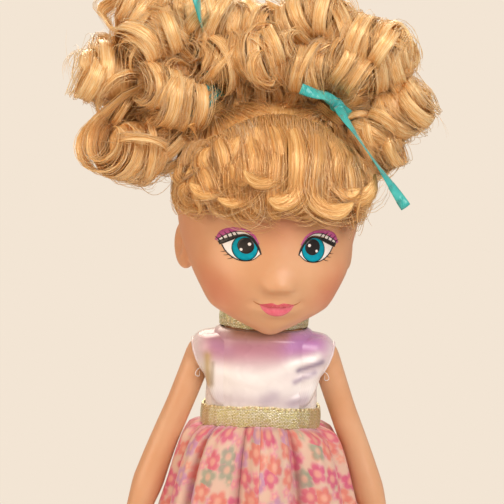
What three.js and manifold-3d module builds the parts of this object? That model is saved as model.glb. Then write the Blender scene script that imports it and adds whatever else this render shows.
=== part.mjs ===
import * as THREE from 'three';
import { mergeVertices } from 'three/addons/utils/BufferGeometryUtils.js';
import Module from 'manifold-3d';

// A big-headed fashion doll in a gathered dress, with two curled pigtails tied in ribbon.
// Millimetres, +Z up, the body faces -Y. The origin is on the floor, under the neck.

const wasm = await Module();
wasm.setup();

// Clearances
const fitGap = 0.35; // between pieces that rest on each other
const turnGap = 0.4; // between pieces that turn on each other
const weld = 0.005; // points closer than this are one point

// Legs and shoes
const hipHeight = 74;
const hipSpread = 11.5;
const thighRadius = 7.5;
const kneeHeight = 40;
const kneeRadius = 6;
const calfRadius = 6.3;
const ankleRadius = 4.5;
const heelBack = 8;
const toeFront = 14;
const footHalfWidth = 5;
const soleThickness = 1.6;
const shoeWall = 1.1;
const shoeRoom = 0.6; // round the foot

// Torso, moulded in a front and a back half
const torsoWall = 1.6;
const torsoDepthRatio = 0.8;
const seamGap = 0.2;
const hipHalfWidth = 16.5;
const waistHalfWidth = 15.8;
const chestHalfWidth = 15.4;
const keelHalfWidth = 3.6;
const keelWall = 1.3;
const hipToWaist = 17.3;
const waistToShoulder = 18.8;
const shoulderRise = 8.2;
const neckRadius = 11.8;
const neckLength = 7.6;

// Plugs
const plugRadius = 2.3;
const plugFlangeRadius = 3.8;
const plugFlangeThickness = 1.3;
const neckStemRadius = 5;
const neckFlangeRadius = 7.4;
const neckFlangeThickness = 1.8;

// Arms
const shoulderSpread = 19;
const armRootRadius = 5.6;
const upperArmRadius = 4.1;
const forearmRadius = 4.9;
const wristRadius = 3.4;
const armLength = 55;
const armSplay = 20;
const palmLength = 9;
const fingerLength = 7.5;
const fingerRadius = 1.15;

// Head, a rotocast vinyl shell
const headYaw = 8;
const headWall = 2;
const headFloorThickness = 2.2;
const headCentreRise = 24.4;
const headCentreForward = 3;
const craniumHalfWidth = 27;
const craniumHalfDepth = 28.5;
const craniumHalfHeight = 31;
const craniumRise = 29.4;
const faceHalfWidth = 22.5;
const faceHalfDepth = 20;
const faceHalfHeight = 21.5;
const faceRise = 13.6;
const faceForward = 9;
const noseRise = 9.9;
const noseProjection = 3.2;
const jawRise = 14; // the cheeks start to draw in here
const jawTaper = 0.06;
const chinRise = 1;
const chinTaper = 0.3;
const earHalfHeight = 7;
const earRise = 17.6;

// Hair
const hairGap = 0.65;
const scalpHairThickness = 2.4;
const fringeThickness = 4.6;
const fringeScallop = 1.3;
const fringeCurls = 9;
const partingForward = 11;
const browRise = 26.5;
const hairlineRise = 27.5;
const curlTubeShare = 0.43;
const bunchRadius = 16.5;
const rightBunchOut = 18;
const leftBunchOut = 6;
const leftBunchHalfWidth = 23;
const bunchUp = 13;
const tieOut = 0.44;
const stalkRadius = 4.2;
const elasticThickness = 1;
const ribbonWidth = 3.2;
const ribbonThickness = 0.6;
const ribbonLift = 1.8;

// Dress
const clothGap = 0.4;
const clothThickness = 0.65;
const bandHeight = 6.4;
const bandThickness = 0.8;
const collarThickness = 1;
const armholeRadius = 6.4;
const capReach = 4.4;
const skirtLength = 56.6;
const skirtFolds = 14;
const skirtThickness = 0.7;
const hemHalfWidth = 36.4;
const hemHalfDepth = 35.2;
const hemFold = 1.9;
const liningThickness = 0.5;
const liningShort = 3;
const liningFollow = 0.85; // share of the overlay's folds that the lining takes
const liningClearance = 0.6; // inside the overlay
const tapeWidth = 5;
const tapeThickness = 0.7;

// Levels that follow from the stack of pieces
const torsoBase = hipHeight + thighRadius + turnGap;
const waistZ = torsoBase + hipToWaist;
const bandTop = waistZ + bandHeight;
const shoulderZ = waistZ + waistToShoulder;
const torsoTop = shoulderZ + shoulderRise;
const neckTop = torsoTop + neckLength;
const headFloor = neckTop + turnGap;
const bodiceBottom = waistZ + 1.4;
const clothOuter = clothGap + clothThickness;
const collarBottom = torsoTop + clothOuter + fitGap;
const collarOuter = neckRadius + clothGap + collarThickness;
const headCentre = new THREE.Vector3(0, -headCentreForward, headFloor + headCentreRise);

// Solids

function solid(geometry) {
  let bare = geometry.clone();
  bare.deleteAttribute('normal');
  bare.deleteAttribute('uv');
  if (!bare.index) bare.setIndex([...Array(bare.getAttribute('position').count).keys()]);
  bare = mergeVertices(bare, 1e-4);
  const triangles = [];
  const index = bare.index.array;
  for (let i = 0; i < index.length; i += 3) {
    const [a, b, c] = [index[i], index[i + 1], index[i + 2]];
    if (a !== b && b !== c && c !== a) triangles.push(a, b, c);
  }
  const vertProperties = new Float32Array(bare.getAttribute('position').array);
  const build = (triVerts) => new wasm.Manifold(
    new wasm.Mesh({ numProp: 3, vertProperties, triVerts: new Uint32Array(triVerts), tolerance: weld }));
  const made = build(triangles);
  return made.volume() < 0 ? build(triangles.reverse()) : made;
}

function geometryOf(manifold) {
  const data = manifold.getMesh();
  const geometry = new THREE.BufferGeometry();
  geometry.setAttribute('position', new THREE.BufferAttribute(new Float32Array(data.vertProperties), 3));
  geometry.setIndex(new THREE.BufferAttribute(new Uint32Array(data.triVerts), 1));
  return geometry;
}

function unite(...solids) {
  return solids.reduce((sum, piece) => sum.add(piece));
}

// The outermost surface of a shape alone, so that pockets shut in between its pieces are solid.
function filled(shape) {
  const { vertProperties, triVerts } = shape.getMesh();
  const parent = Array.from({ length: vertProperties.length / 3 }, (_, i) => i);
  const find = (a) => {
    while (parent[a] !== a) a = parent[a] = parent[parent[a]];
    return a;
  };
  for (let i = 0; i < triVerts.length; i += 3) {
    parent[find(triVerts[i])] = find(triVerts[i + 1]);
    parent[find(triVerts[i + 1])] = find(triVerts[i + 2]);
  }
  const shells = new Map();
  for (let i = 0; i < triVerts.length; i += 3) {
    const shell = find(triVerts[i]);
    if (!shells.has(shell)) shells.set(shell, []);
    shells.get(shell).push(triVerts[i], triVerts[i + 1], triVerts[i + 2]);
  }
  const largest = [...shells.values()].reduce((a, b) => (b.length > a.length ? b : a));
  return new wasm.Manifold(new wasm.Mesh({ numProp: 3, vertProperties, triVerts: new Uint32Array(largest) }));
}

function block(x0, x1, y0, y1, z0, z1) {
  const geometry = new THREE.BoxGeometry(x1 - x0, y1 - y0, z1 - z0);
  geometry.translate((x0 + x1) / 2, (y0 + y1) / 2, (z0 + z1) / 2);
  return solid(geometry);
}

// A body of revolution about Z, squeezed along Y. The profile runs up the outside, in [radius, z].
function turned(profile, depthRatio = 1, segments = 28) {
  const geometry = new THREE.LatheGeometry(profile.map(([r, z]) => new THREE.Vector2(r, z)), segments);
  geometry.rotateX(Math.PI / 2);
  geometry.scale(1, depthRatio, 1);
  return solid(geometry);
}

function rodX(x0, x1, y, z, radius, segments = 14) {
  const geometry = new THREE.CylinderGeometry(radius, radius, Math.abs(x1 - x0), segments);
  geometry.rotateZ(Math.PI / 2);
  geometry.translate((x0 + x1) / 2, y, z);
  return solid(geometry);
}

function ball(x, y, z, rx, ry = rx, rz = rx, columns = 14, rows = 10) {
  const geometry = new THREE.SphereGeometry(1, columns, rows);
  geometry.scale(rx, rz, ry);
  geometry.rotateX(Math.PI / 2);
  geometry.translate(x, y, z);
  return solid(geometry);
}

// A tube through the points whose radius runs through the list. With a facing vector the
// section is a flat strip of the given width and thickness, square to that vector.
function sweep(points, radii, { sides = 10, steps = 12, facing = null, width = 0, thickness = 0 } = {}) {
  const curve = new THREE.CatmullRomCurve3(points.map((p) => new THREE.Vector3(...p)), false, 'centripetal');
  const across = new THREE.Vector3(0.31, 0.93, 0.2);
  const lift = new THREE.Vector3();
  const positions = [];
  const indices = [];
  const count = facing ? 4 : sides;
  for (let i = 0; i <= steps; i++) {
    const t = i / steps;
    const at = curve.getPoint(t);
    const tangent = curve.getTangent(t);
    if (facing) across.crossVectors(tangent, new THREE.Vector3(...facing)).normalize();
    else across.addScaledVector(tangent, -across.dot(tangent)).normalize();
    lift.crossVectors(across, tangent);
    const place = t * (radii.length - 1);
    const low = Math.min(Math.floor(place), radii.length - 2);
    const radius = radii[low] + (radii[low + 1] - radii[low]) * (place - low);
    for (let k = 0; k < count; k++) {
      const angle = (2 * Math.PI * (k + 0.5)) / count;
      const u = facing ? Math.sign(Math.cos(angle)) * width * 0.5 : radius * Math.cos(angle);
      const v = facing ? Math.sign(Math.sin(angle)) * thickness * 0.5 : radius * Math.sin(angle);
      const corner = at.clone().addScaledVector(across, u).addScaledVector(lift, v);
      positions.push(corner.x, corner.y, corner.z);
    }
  }
  for (let i = 0; i < steps; i++) {
    for (let k = 0; k < count; k++) {
      const a = i * count + k;
      const b = i * count + ((k + 1) % count);
      indices.push(a, b, a + count, b, b + count, a + count);
    }
  }
  const last = steps * count;
  for (let k = 1; k < count - 1; k++) {
    indices.push(0, k + 1, k, last, last + k, last + k + 1);
  }
  const geometry = new THREE.BufferGeometry();
  geometry.setAttribute('position', new THREE.BufferAttribute(new Float32Array(positions), 3));
  geometry.setIndex(indices);
  return solid(geometry);
}

// A thin sheet: the outer and inner points of a grid, closed along its edges. A wrapped grid
// joins its last column to its first.
function sheet(columns, rows, outerAt, innerAt, wrapped) {
  const positions = [];
  const indices = [];
  const layer = (at) => {
    for (let j = 0; j <= rows; j++) {
      for (let i = 0; i < columns + (wrapped ? 0 : 1); i++) positions.push(...at(i / columns, j / rows));
    }
  };
  layer(outerAt);
  layer(innerAt);
  const across = columns + (wrapped ? 0 : 1);
  const inner = across * (rows + 1);
  const at = (i, j) => j * across + (i % across);
  for (let j = 0; j < rows; j++) {
    for (let i = 0; i < columns; i++) {
      const [a, b, c, d] = [at(i, j), at(i + 1, j), at(i + 1, j + 1), at(i, j + 1)];
      indices.push(a, b, c, a, c, d);
      indices.push(inner + a, inner + c, inner + b, inner + a, inner + d, inner + c);
    }
  }
  for (let i = 0; i < columns; i++) {
    const [a, b] = [at(i, 0), at(i + 1, 0)];
    const [c, d] = [at(i, rows), at(i + 1, rows)];
    indices.push(a, inner + b, b, a, inner + a, inner + b);
    indices.push(c, d, inner + d, c, inner + d, inner + c);
  }
  if (!wrapped) {
    for (let j = 0; j < rows; j++) {
      const [a, b] = [at(0, j), at(0, j + 1)];
      const [c, d] = [at(columns, j), at(columns, j + 1)];
      indices.push(a, b, inner + b, a, inner + b, inner + a);
      indices.push(c, inner + d, d, c, inner + c, inner + d);
    }
  }
  const geometry = new THREE.BufferGeometry();
  geometry.setAttribute('position', new THREE.BufferAttribute(new Float32Array(positions), 3));
  geometry.setIndex(indices);
  return solid(geometry);
}

function piece(name, shape, colour, roughness, metalness = 0) {
  const geometry = geometryOf(shape);
  geometry.computeVertexNormals();
  const mesh = new THREE.Mesh(geometry, new THREE.MeshStandardMaterial({ color: colour, roughness, metalness }));
  mesh.name = name;
  return mesh;
}

// Head form: along each direction from its centre, the further of a cranium and a lower face,
// blended, with the nose, lips, chin, cheeks and eye hollows raised on the front.

function ellipsoidExit(direction, offset, half) {
  const d = [direction.x / half[0], direction.y / half[1], direction.z / half[2]];
  const o = [offset[0] / half[0], offset[1] / half[1], offset[2] / half[2]];
  const a = d[0] * d[0] + d[1] * d[1] + d[2] * d[2];
  const b = d[0] * o[0] + d[1] * o[1] + d[2] * o[2];
  const c = o[0] * o[0] + o[1] * o[1] + o[2] * o[2] - 1;
  return (-b + Math.sqrt(Math.max(b * b - a * c, 0))) / a;
}

function headDistance(direction) {
  const skull = ellipsoidExit(
    direction,
    [0, -headCentreForward, headCentreRise - craniumRise],
    [craniumHalfWidth, craniumHalfDepth, craniumHalfHeight],
  );
  const face = ellipsoidExit(
    direction,
    [0, faceForward - headCentreForward, headCentreRise - faceRise],
    [faceHalfWidth, faceHalfDepth, faceHalfHeight],
  );
  let distance = (skull ** 14 + face ** 14) ** (1 / 14);
  if (direction.y < 0) {
    const x = Math.abs(direction.x * distance);
    const z = direction.z * distance + headCentreRise;
    const bump = (amount, x0, wx, z0, wz) =>
      amount * Math.exp(-(((x - x0) / wx) ** 2) - ((z - z0) / wz) ** 2);
    distance += bump(noseProjection, 0, 3.2, noseRise, 2.3) + bump(0.5, 0, 3.2, noseRise + 4, 5);
    distance += bump(1.0, 0, 5.5, 1.6, 1.9) + bump(1.0, 0, 6, -3.6, 3) + bump(0.7, 13, 6, 8.5, 6);
    distance -= bump(0.9, 11.4, 6, 20, 4.5);
  }
  return distance;
}

// The width that the cheeks keep toward a narrow chin.
function jawShare(z) {
  const cheek = THREE.MathUtils.smoothstep(jawRise - z, 0, 10);
  const chin = THREE.MathUtils.clamp((chinRise - z) / 6, 0, 1.3);
  return 1 - jawTaper * cheek - chinTaper * chin ** 1.4;
}

function headForm(offset, columns, rows) {
  const geometry = new THREE.SphereGeometry(1, columns, rows);
  geometry.rotateX(Math.PI / 2);
  const position = geometry.getAttribute('position');
  const direction = new THREE.Vector3();
  for (let i = 0; i < position.count; i++) {
    direction.fromBufferAttribute(position, i);
    const spread = Math.hypot(direction.x, direction.y);
    const around = Math.atan2(direction.x, -direction.y);
    const drawn = around - 0.4 * Math.sin(around);
    direction.set(spread * Math.sin(drawn), -spread * Math.cos(drawn), direction.z).normalize();
    const reach = headDistance(direction) + (typeof offset === 'function' ? offset(direction) : offset);
    const z = direction.z * reach + headCentreRise;
    position.setXYZ(i, direction.x * reach * jawShare(z), direction.y * reach - headCentreForward, z);
  }
  return solid(geometry);
}

function headSurface(direction, offset) {
  const unit = new THREE.Vector3(...direction).normalize();
  return headCentre.clone().addScaledVector(unit, headDistance(unit) + offset);
}

const scalpOuter = hairGap + scalpHairThickness;
const fringeOuter = hairGap + fringeThickness + fringeScallop;
const skin = 0xe3b088;
const blonde = 0xd9aa66;
const teal = 0x35b4b4;
const gold = 0xc79a4b;
const white = 0xe9e2e6;

function makeHeadShell() {
  const ears = [-1, 1].map((side) => {
    const lobe = new THREE.SphereGeometry(1, 12, 8);
    lobe.scale(2.6, 4.4, earHalfHeight);
    lobe.rotateX(-0.2);
    lobe.rotateZ(side * -0.35);
    const edge = headDistance(new THREE.Vector3(side, 0.25, (earRise - headCentreRise) / 25).normalize());
    lobe.translate(side * (edge - 1.2), 3, earRise);
    return solid(lobe);
  });
  const recessTop = 0;
  const recess = turned(
    [[0, -40], [collarOuter + 0.5, -40], [collarOuter + 0.5, recessTop], [0, recessTop]], 1, 32);
  const hollow = headForm(-headWall, 16, 10).intersect(block(-60, 60, -60, 60, headFloorThickness, 90));
  const bore = turned([[0, -5], [neckStemRadius + turnGap, -5], [neckStemRadius + turnGap, 12], [0, 12]], 1, 24);
  return unite(headForm(0, 30, 22), ...ears).subtract(recess).subtract(hollow).subtract(bore);
}

// Scalp hair, combed back from the parting, with its hairline above the ears and up from the nape.
function hairlineBlock() {
  const geometry = new THREE.BoxGeometry(120, 160, 120);
  geometry.translate(0, 0, 60);
  geometry.rotateX(-0.47);
  geometry.translate(0, 3, hairlineRise);
  return solid(geometry);
}

function makeScalpHair() {
  return headForm(scalpOuter, 30, 14)
    .subtract(headForm(hairGap, 30, 22))
    .intersect(block(-60, 60, -partingForward + fitGap, 60, 0, 90))
    .intersect(hairlineBlock());
}

// Fringe: a row of rolled curls from the parting down to the brows.
function makeFringe() {
  const rolled = (direction) => {
    const around = Math.atan2(direction.x, -direction.y);
    const full = 0.35 + 0.65 * Math.max(Math.cos(around), 0);
    return hairGap + full * (fringeThickness + fringeScallop * Math.cos(fringeCurls * around * 1.6));
  };
  return headForm(rolled, 40, 12)
    .subtract(headForm(hairGap, 30, 22))
    .intersect(block(-60, 60, -60, -partingForward, browRise, 90));
}

// Pigtails: a bunch of rolled curls round a full heart. Each roll turns about an axis that points
// out of the heart. Rows hold a roll's centre from its tie as out, back and up, then its radius.
const rightCurls = [
  [14, -13, 21, 10], [34, -3, 14, 10], [26, -9, -5, 11], [12, -15, 6, 9], [27, -6, 27, 8.5], [1, -9, 24, 9],
  [14, 21, 21, 10], [32, 15, 11, 10], [25, 18, -3, 10.5], [6, 16, 14, 10.5], [15, 6, 31, 9],
];
const leftCurls = [
  [-15, -9, 22, 9], [-8, -13, 13, 9], [5, -14, 18, 9.5], [20, -10, 25, 9.5], [26, -7, 5, 11], [11, -16, 6, 9],
  [22, 3, -8, 9], [35, 5, 13, 10], [-9, 14, 19, 11], [7, 22, 16, 11], [24, 18, 8, 11], [9, 6, 34, 9.5],
];

function tieOf(side) {
  const direction = [side * tieOut, -0.05, 0.85];
  const axis = new THREE.Vector3(side * 0.6, -0.05, 0.8).normalize();
  return { at: headSurface(direction, scalpOuter), axis };
}

function curl(tie, side, [out, back, up, radius], heart, hand) {
  const centre = new THREE.Vector3(tie.at.x + side * out, tie.at.y + back, tie.at.z + up);
  const axis = centre.clone().sub(heart).normalize();
  const first = new THREE.Vector3(0, 0, 1).addScaledVector(axis, -axis.z).normalize();
  const second = new THREE.Vector3().crossVectors(axis, first).multiplyScalar(hand);
  const tube = radius * curlTubeShare;
  const points = [heart.clone().addScaledVector(axis, bunchRadius - 4).toArray()];
  for (let i = 0; i <= 8; i++) {
    const angle = 0.4 + (i / 8) * 2 * Math.PI * 0.8;
    const reach = (radius - tube) * (1.06 - 0.12 * (i / 8));
    const at = centre.clone()
      .addScaledVector(first, reach * Math.cos(angle))
      .addScaledVector(second, reach * Math.sin(angle))
      .addScaledVector(axis, (i / 8 - 0.6) * tube * 1.1);
    points.push(at.toArray());
  }
  return sweep(points, [tube * 0.8, tube, tube, tube * 0.75], { sides: 5, steps: 9 });
}

function makePigtail(side, curls, out, halfWidth, keepClear) {
  const tie = tieOf(side);
  const heart = tie.at.clone().add(new THREE.Vector3(side * out, 4.5, bunchUp));
  const root = tie.at.clone().addScaledVector(tie.axis, -2);
  const fan = tie.at.clone().addScaledVector(tie.axis, ribbonLift + ribbonWidth + 2.5);
  const stalk = sweep([root.toArray(), fan.toArray()], [stalkRadius, stalkRadius], { sides: 10, steps: 1 });
  const neck = sweep([fan.toArray(), heart.toArray()], [stalkRadius * 0.6, stalkRadius], { sides: 8, steps: 1 });
  const core = ball(heart.x, heart.y, heart.z, halfWidth, bunchRadius * 0.95, bunchRadius, 12, 8);
  const locks = curls.map((row, i) => curl(tie, side, row, heart, i % 2 ? -1 : 1));
  let bunch = unite(core, neck, ...locks);
  const collar = sweep(
    [tie.at.clone().addScaledVector(tie.axis, -8).toArray(),
      tie.at.clone().addScaledVector(tie.axis, ribbonLift + ribbonWidth + fitGap).toArray()],
    [stalkRadius + 4.5, stalkRadius + 4.5], { sides: 14, steps: 1 });
  bunch = bunch.subtract(collar).add(stalk);
  for (const shape of keepClear) bunch = bunch.subtract(shape);
  return filled(bunch);
}

function alongTie(tie, profile, segments) {
  const geometry = new THREE.LatheGeometry(profile.map(([r, z]) => new THREE.Vector2(r, z)), segments);
  geometry.applyQuaternion(new THREE.Quaternion().setFromUnitVectors(new THREE.Vector3(0, 1, 0), tie.axis));
  geometry.translate(tie.at.x, tie.at.y, tie.at.z);
  return solid(geometry);
}

function makeElastic(side) {
  const inner = stalkRadius + fitGap;
  const outer = inner + elasticThickness;
  const [low, high] = [ribbonLift + 0.3, ribbonLift + ribbonWidth - 0.3];
  return alongTie(tieOf(side), [[inner, low], [outer, low], [outer, high], [inner, high], [inner, low]], 14);
}

// Ribbon: the wrap round the tie, its knot on the front and two cut tails.
const rightTails = [
  [[0, -0.4, 0], [-1, -6, 6], [-4.5, -15, 14], [-5, -17.5, 25], [-4, -16, 35]],
  [[0, -0.4, 0], [1, -4, 5], [1.5, -8.5, 11], [0.5, -11, 17]],
];
const leftTails = [
  [[0, -0.4, 0], [3.5, -4, -3], [12.5, -7, -11.5], [19, -6.5, -19.5], [26.5, -6, -28.5]],
  [[0, -0.4, 0], [-3, -3.5, 3], [-9, -8, 6], [-12, -8.5, 8]],
];

function makeRibbon(side, tails, grown) {
  const tie = tieOf(side);
  const inner = stalkRadius + fitGap + elasticThickness + fitGap - grown;
  const outer = inner + ribbonThickness + 2 * grown;
  const [low, high] = [ribbonLift - grown, ribbonLift + ribbonWidth + grown];
  const wrap = alongTie(tie, [[inner, low], [outer, low], [outer, high], [inner, high], [inner, low]], 16);
  const middle = tie.at.clone().addScaledVector(tie.axis, ribbonLift + ribbonWidth / 2);
  const front = new THREE.Vector3(0, -1, 0);
  front.addScaledVector(tie.axis, -front.dot(tie.axis)).normalize();
  const knotAt = middle.clone().addScaledVector(front, outer - grown + 0.5);
  const knot = ball(knotAt.x, knotAt.y, knotAt.z, 2.4 + grown, 1.5 + grown, 2.0 + grown, 8, 6);
  const strips = tails.map((path) => {
    const points = path.map(([x, y, z]) => [knotAt.x + x, knotAt.y + y, knotAt.z + z]);
    return sweep(points, [1, 1], {
      steps: 6, facing: [0.25 * side, -1, 0.1], width: ribbonWidth + 2 * grown, thickness: ribbonThickness + 2 * grown,
    });
  });
  return unite(wrap, knot, ...strips);
}

// Torso

function torsoProfile() {
  return [
    [hipHalfWidth - 0.6, torsoBase],
    [hipHalfWidth, torsoBase + 3],
    [(hipHalfWidth + waistHalfWidth) / 2 + 0.1, waistZ - 4],
    [waistHalfWidth, waistZ - 1],
    [waistHalfWidth, bandTop],
    [chestHalfWidth, shoulderZ - 8],
    [chestHalfWidth - 0.2, shoulderZ + 2],
    [chestHalfWidth - 1.4, torsoTop - 1.4],
    [neckRadius + 0.3, torsoTop],
    [neckRadius, torsoTop + 0.4],
    [neckRadius, neckTop],
  ];
}

// The same profile moved outward by a distance, square to the surface.
function offsetProfile(points, distance) {
  return points.map((point, i) => {
    const before = points[Math.max(i - 1, 0)];
    const after = points[Math.min(i + 1, points.length - 1)];
    const run = Math.hypot(after[0] - before[0], after[1] - before[1]);
    const normal = [(after[1] - before[1]) / run, -(after[0] - before[0]) / run];
    return [point[0] + normal[0] * distance, point[1] + normal[1] * distance];
  });
}

function makeTorso(front) {
  const outer = torsoProfile();
  const inner = offsetProfile(outer, -torsoWall);
  inner[0][1] = torsoBase + torsoWall;
  inner[inner.length - 1][1] = neckTop - 2.2;
  const closed = (points) => [[0, points[0][1]], ...points, [0, points[points.length - 1][1]]];
  const keelHalfDepth = thighRadius - 1;
  let body = turned(closed(outer), torsoDepthRatio, 20)
    .add(rodX(-keelHalfWidth, keelHalfWidth, 0, hipHeight, keelHalfDepth, 16))
    .add(block(-keelHalfWidth, keelHalfWidth, -keelHalfDepth, keelHalfDepth, hipHeight, torsoBase + 1));
  const keelIn = keelHalfWidth - keelWall;
  body = body
    .subtract(turned(closed(inner), torsoDepthRatio, 12))
    .subtract(block(-keelIn, keelIn, -plugFlangeRadius - 1, plugFlangeRadius + 1,
      hipHeight - plugFlangeRadius - 1, torsoBase + torsoWall + 1))
    .subtract(rodX(-keelHalfWidth - 1, keelHalfWidth + 1, 0, hipHeight, plugRadius + turnGap))
    .subtract(rodX(-chestHalfWidth - 6, chestHalfWidth + 6, 0, shoulderZ, plugRadius + turnGap))
    .subtract(turned([[0, neckTop - 6], [neckStemRadius + fitGap, neckTop - 6],
      [neckStemRadius + fitGap, neckTop + 6], [0, neckTop + 6]], 1, 24));
  const half = front
    ? block(-60, 60, -60, -seamGap / 2, 0, 200)
    : block(-60, 60, seamGap / 2, 60, 0, 200);
  return body.intersect(half);
}

// Neck plug: its lower flange hangs under the neck's top wall, its upper one holds the head's floor.
function makeNeckPlug() {
  const low = neckTop - 2.2 - fitGap;
  const high = headFloor + headFloorThickness + turnGap;
  return turned([
    [0, low - neckFlangeThickness], [neckFlangeRadius, low - neckFlangeThickness], [neckFlangeRadius, low],
    [neckStemRadius, low], [neckStemRadius, high], [neckFlangeRadius, high],
    [neckFlangeRadius - 1, high + neckFlangeThickness], [0, high + neckFlangeThickness],
  ], 1, 24);
}

// Arms: one moulding from the shoulder plug to the finger tips.
function makeArm(side) {
  const face = chestHalfWidth + turnGap;
  const splay = THREE.MathUtils.degToRad(armSplay);
  const along = (d, x = 0, y = 0) => [
    side * (shoulderSpread + d * Math.sin(splay) + x * Math.cos(splay)), y, shoulderZ - d * Math.cos(splay) + x * Math.sin(splay)];
  const flangeX = (chestHalfWidth - torsoWall) * Math.sqrt(
    1 - (plugFlangeRadius / ((chestHalfWidth - torsoWall) * torsoDepthRatio)) ** 2) - turnGap - 0.2;
  const limb = sweep(
    [along(0), along(armLength * 0.3), along(armLength * 0.52, 0.3, 0.6), along(armLength * 0.78, 0, -0.8),
      along(armLength, -0.6, -2.2)],
    [upperArmRadius, upperArmRadius, upperArmRadius + 0.2, forearmRadius, wristRadius],
    { sides: 8, steps: 8 });
  const root = ball(side * shoulderSpread, 0, shoulderZ, armRootRadius, armRootRadius, armRootRadius, 12, 8)
    .intersect(side > 0 ? block(face, 60, -30, 30, 60, 160) : block(-60, -face, -30, 30, 60, 160));
  const palmMiddle = along(armLength + palmLength * 0.42, -0.9, -2.9);
  const palm = new THREE.SphereGeometry(1, 8, 6);
  palm.scale(2.4, 4.3, palmLength * 0.62);
  palm.rotateY(side * -splay);
  palm.translate(...palmMiddle);
  const fingers = [-2.7, -0.9, 0.9, 2.7].map((y, i) => sweep(
    [along(armLength + palmLength * 0.5, -0.9, -2.9 + y * 0.8),
      along(armLength + palmLength + fingerLength * 0.35, -1.1, -3.1 + y),
      along(armLength + palmLength + fingerLength * (i === 0 || i === 3 ? 0.82 : 1), -2.2, -3.3 + y)],
    [fingerRadius, fingerRadius, fingerRadius * 0.75], { sides: 4, steps: 2 }));
  const thumb = sweep(
    [along(armLength + 2, -1.2, -4), along(armLength + 5.5, -2.2, -7.4), along(armLength + 9.5, -2.8, -8.6)],
    [1.7, 1.4, 0.9], { sides: 5, steps: 2 });
  return unite(
    limb, root, solid(palm), ...fingers, thumb,
    rodX(side * (face + 1.5), side * (flangeX - plugFlangeThickness), 0, shoulderZ, plugRadius),
    rodX(side * flangeX, side * (flangeX - plugFlangeThickness), 0, shoulderZ, plugFlangeRadius));
}

// Legs: one moulding from the hip plug to the toes.
const footRows = [
  [heelBack, 0.62, 4.2], [heelBack - 2.5, 0.84, 4.6], [0, 0.92, 4.8], [-toeFront * 0.5, 1, 4.2], [-toeFront * 0.82, 0.9, 3.4],
  [-toeFront, 0.55, 2.6],
];

function footShape(x, grown, floor) {
  const points = footRows.map(([y], i) => [x, y + (i === 0 ? grown : i === footRows.length - 1 ? -grown : 0), soleThickness + 4.2]);
  const bulk = sweep(points, footRows.map(([, w]) => footHalfWidth * w + grown), { sides: 10, steps: 5 });
  return bulk.intersect(block(x - 30, x + 30, -60, 60, floor, 60));
}

function makeLeg(side) {
  const x = side * hipSpread;
  const ankle = soleThickness + 7.5;
  const limb = sweep(
    [[x, 0, hipHeight], [x, -0.3, hipHeight - 12], [x, -0.6, kneeHeight + 6], [x, 0, kneeHeight - 8], [x, 1, ankle + 9], [x, 1.5, ankle - 3]],
    [thighRadius, thighRadius, kneeRadius, calfRadius, ankleRadius, ankleRadius],
    { sides: 10, steps: 10 });
  const top = ball(x, 0, hipHeight, thighRadius, thighRadius, thighRadius, 12, 8);
  const flangeAt = keelHalfWidth - keelWall - turnGap;
  return unite(
    limb, top, footShape(x, 0, soleThickness + fitGap),
    rodX(x - side * 4, side * (flangeAt - plugFlangeThickness), 0, hipHeight, plugRadius),
    rodX(side * flangeAt, side * (flangeAt - plugFlangeThickness), 0, hipHeight, plugFlangeRadius));
}

// Shoes: a slip-on with a flat sole and an open instep.
function makeShoe(side) {
  const x = side * hipSpread;
  const upper = footShape(x, shoeRoom + shoeWall, soleThickness * 0.5);
  const outline = new THREE.Shape();
  const rim = footRows.map(([y, w]) => [y, footHalfWidth * w + shoeRoom + shoeWall]);
  rim[0][0] += 1.6;
  rim[0][1] -= 0.5;
  rim[rim.length - 1][0] -= 1.6;
  rim[rim.length - 1][1] -= 0.4;
  outline.setFromPoints([
    ...rim.map(([y, w]) => new THREE.Vector2(x + w, y)),
    ...[...rim].reverse().map(([y, w]) => new THREE.Vector2(x - w, y)),
  ]);
  const sole = solid(new THREE.ExtrudeGeometry(outline, { depth: soleThickness, bevelEnabled: false }));
  const mouth = block(x - 30, x + 30, -toeFront * 0.42, heelBack * 0.45, soleThickness + 4.6, 60);
  const heelMouth = block(x - 30, x + 30, heelBack * 0.4, heelBack + 20, soleThickness + 7.2, 60);
  return unite(upper, sole)
    .subtract(footShape(x, shoeRoom, soleThickness))
    .subtract(mouth)
    .subtract(heelMouth);
}

// Dress

function bodiceShell(inner, outer) {
  const upper = torsoProfile().slice(3, 9);
  upper[0] = [waistHalfWidth, bodiceBottom];
  const low = offsetProfile(upper, inner);
  const high = offsetProfile(upper, outer);
  low[0][1] = bodiceBottom;
  high[0][1] = bodiceBottom;
  return turned([...high, ...low.reverse(), high[0]], torsoDepthRatio, 28);
}

function makeBodice(part) {
  const holes = [-1, 1].map((side) => rodX(side * 10, side * 30, 0, shoulderZ, armholeRadius, 24));
  const edge = seamGap;
  const half = {
    front: block(-60, 60, -60, -edge, 0, 200),
    left: block(edge, 60, edge, 60, 0, 200),
    right: block(-60, -edge, edge, 60, 0, 200),
  }[part];
  return bodiceShell(clothGap, clothOuter).subtract(holes[0]).subtract(holes[1]).intersect(half);
}

function makeClosureTape() {
  const near = clothOuter + fitGap;
  return bodiceShell(near, near + tapeThickness)
    .intersect(block(-tapeWidth / 2, tapeWidth / 2, 1, 60, bandTop + 1, shoulderZ + 3));
}

function ovalRing(innerRadius, thickness, low, high) {
  const outer = innerRadius + thickness;
  return turned(
    [[innerRadius, low], [outer, low], [outer, high], [innerRadius, high], [innerRadius, low]], torsoDepthRatio, 28);
}

function makeWaistband() {
  return ovalRing(waistHalfWidth + clothOuter + fitGap, bandThickness, waistZ, bandTop);
}

function makeCollar() {
  return ovalRing(neckRadius + clothGap, collarThickness, collarBottom, neckTop);
}

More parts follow.
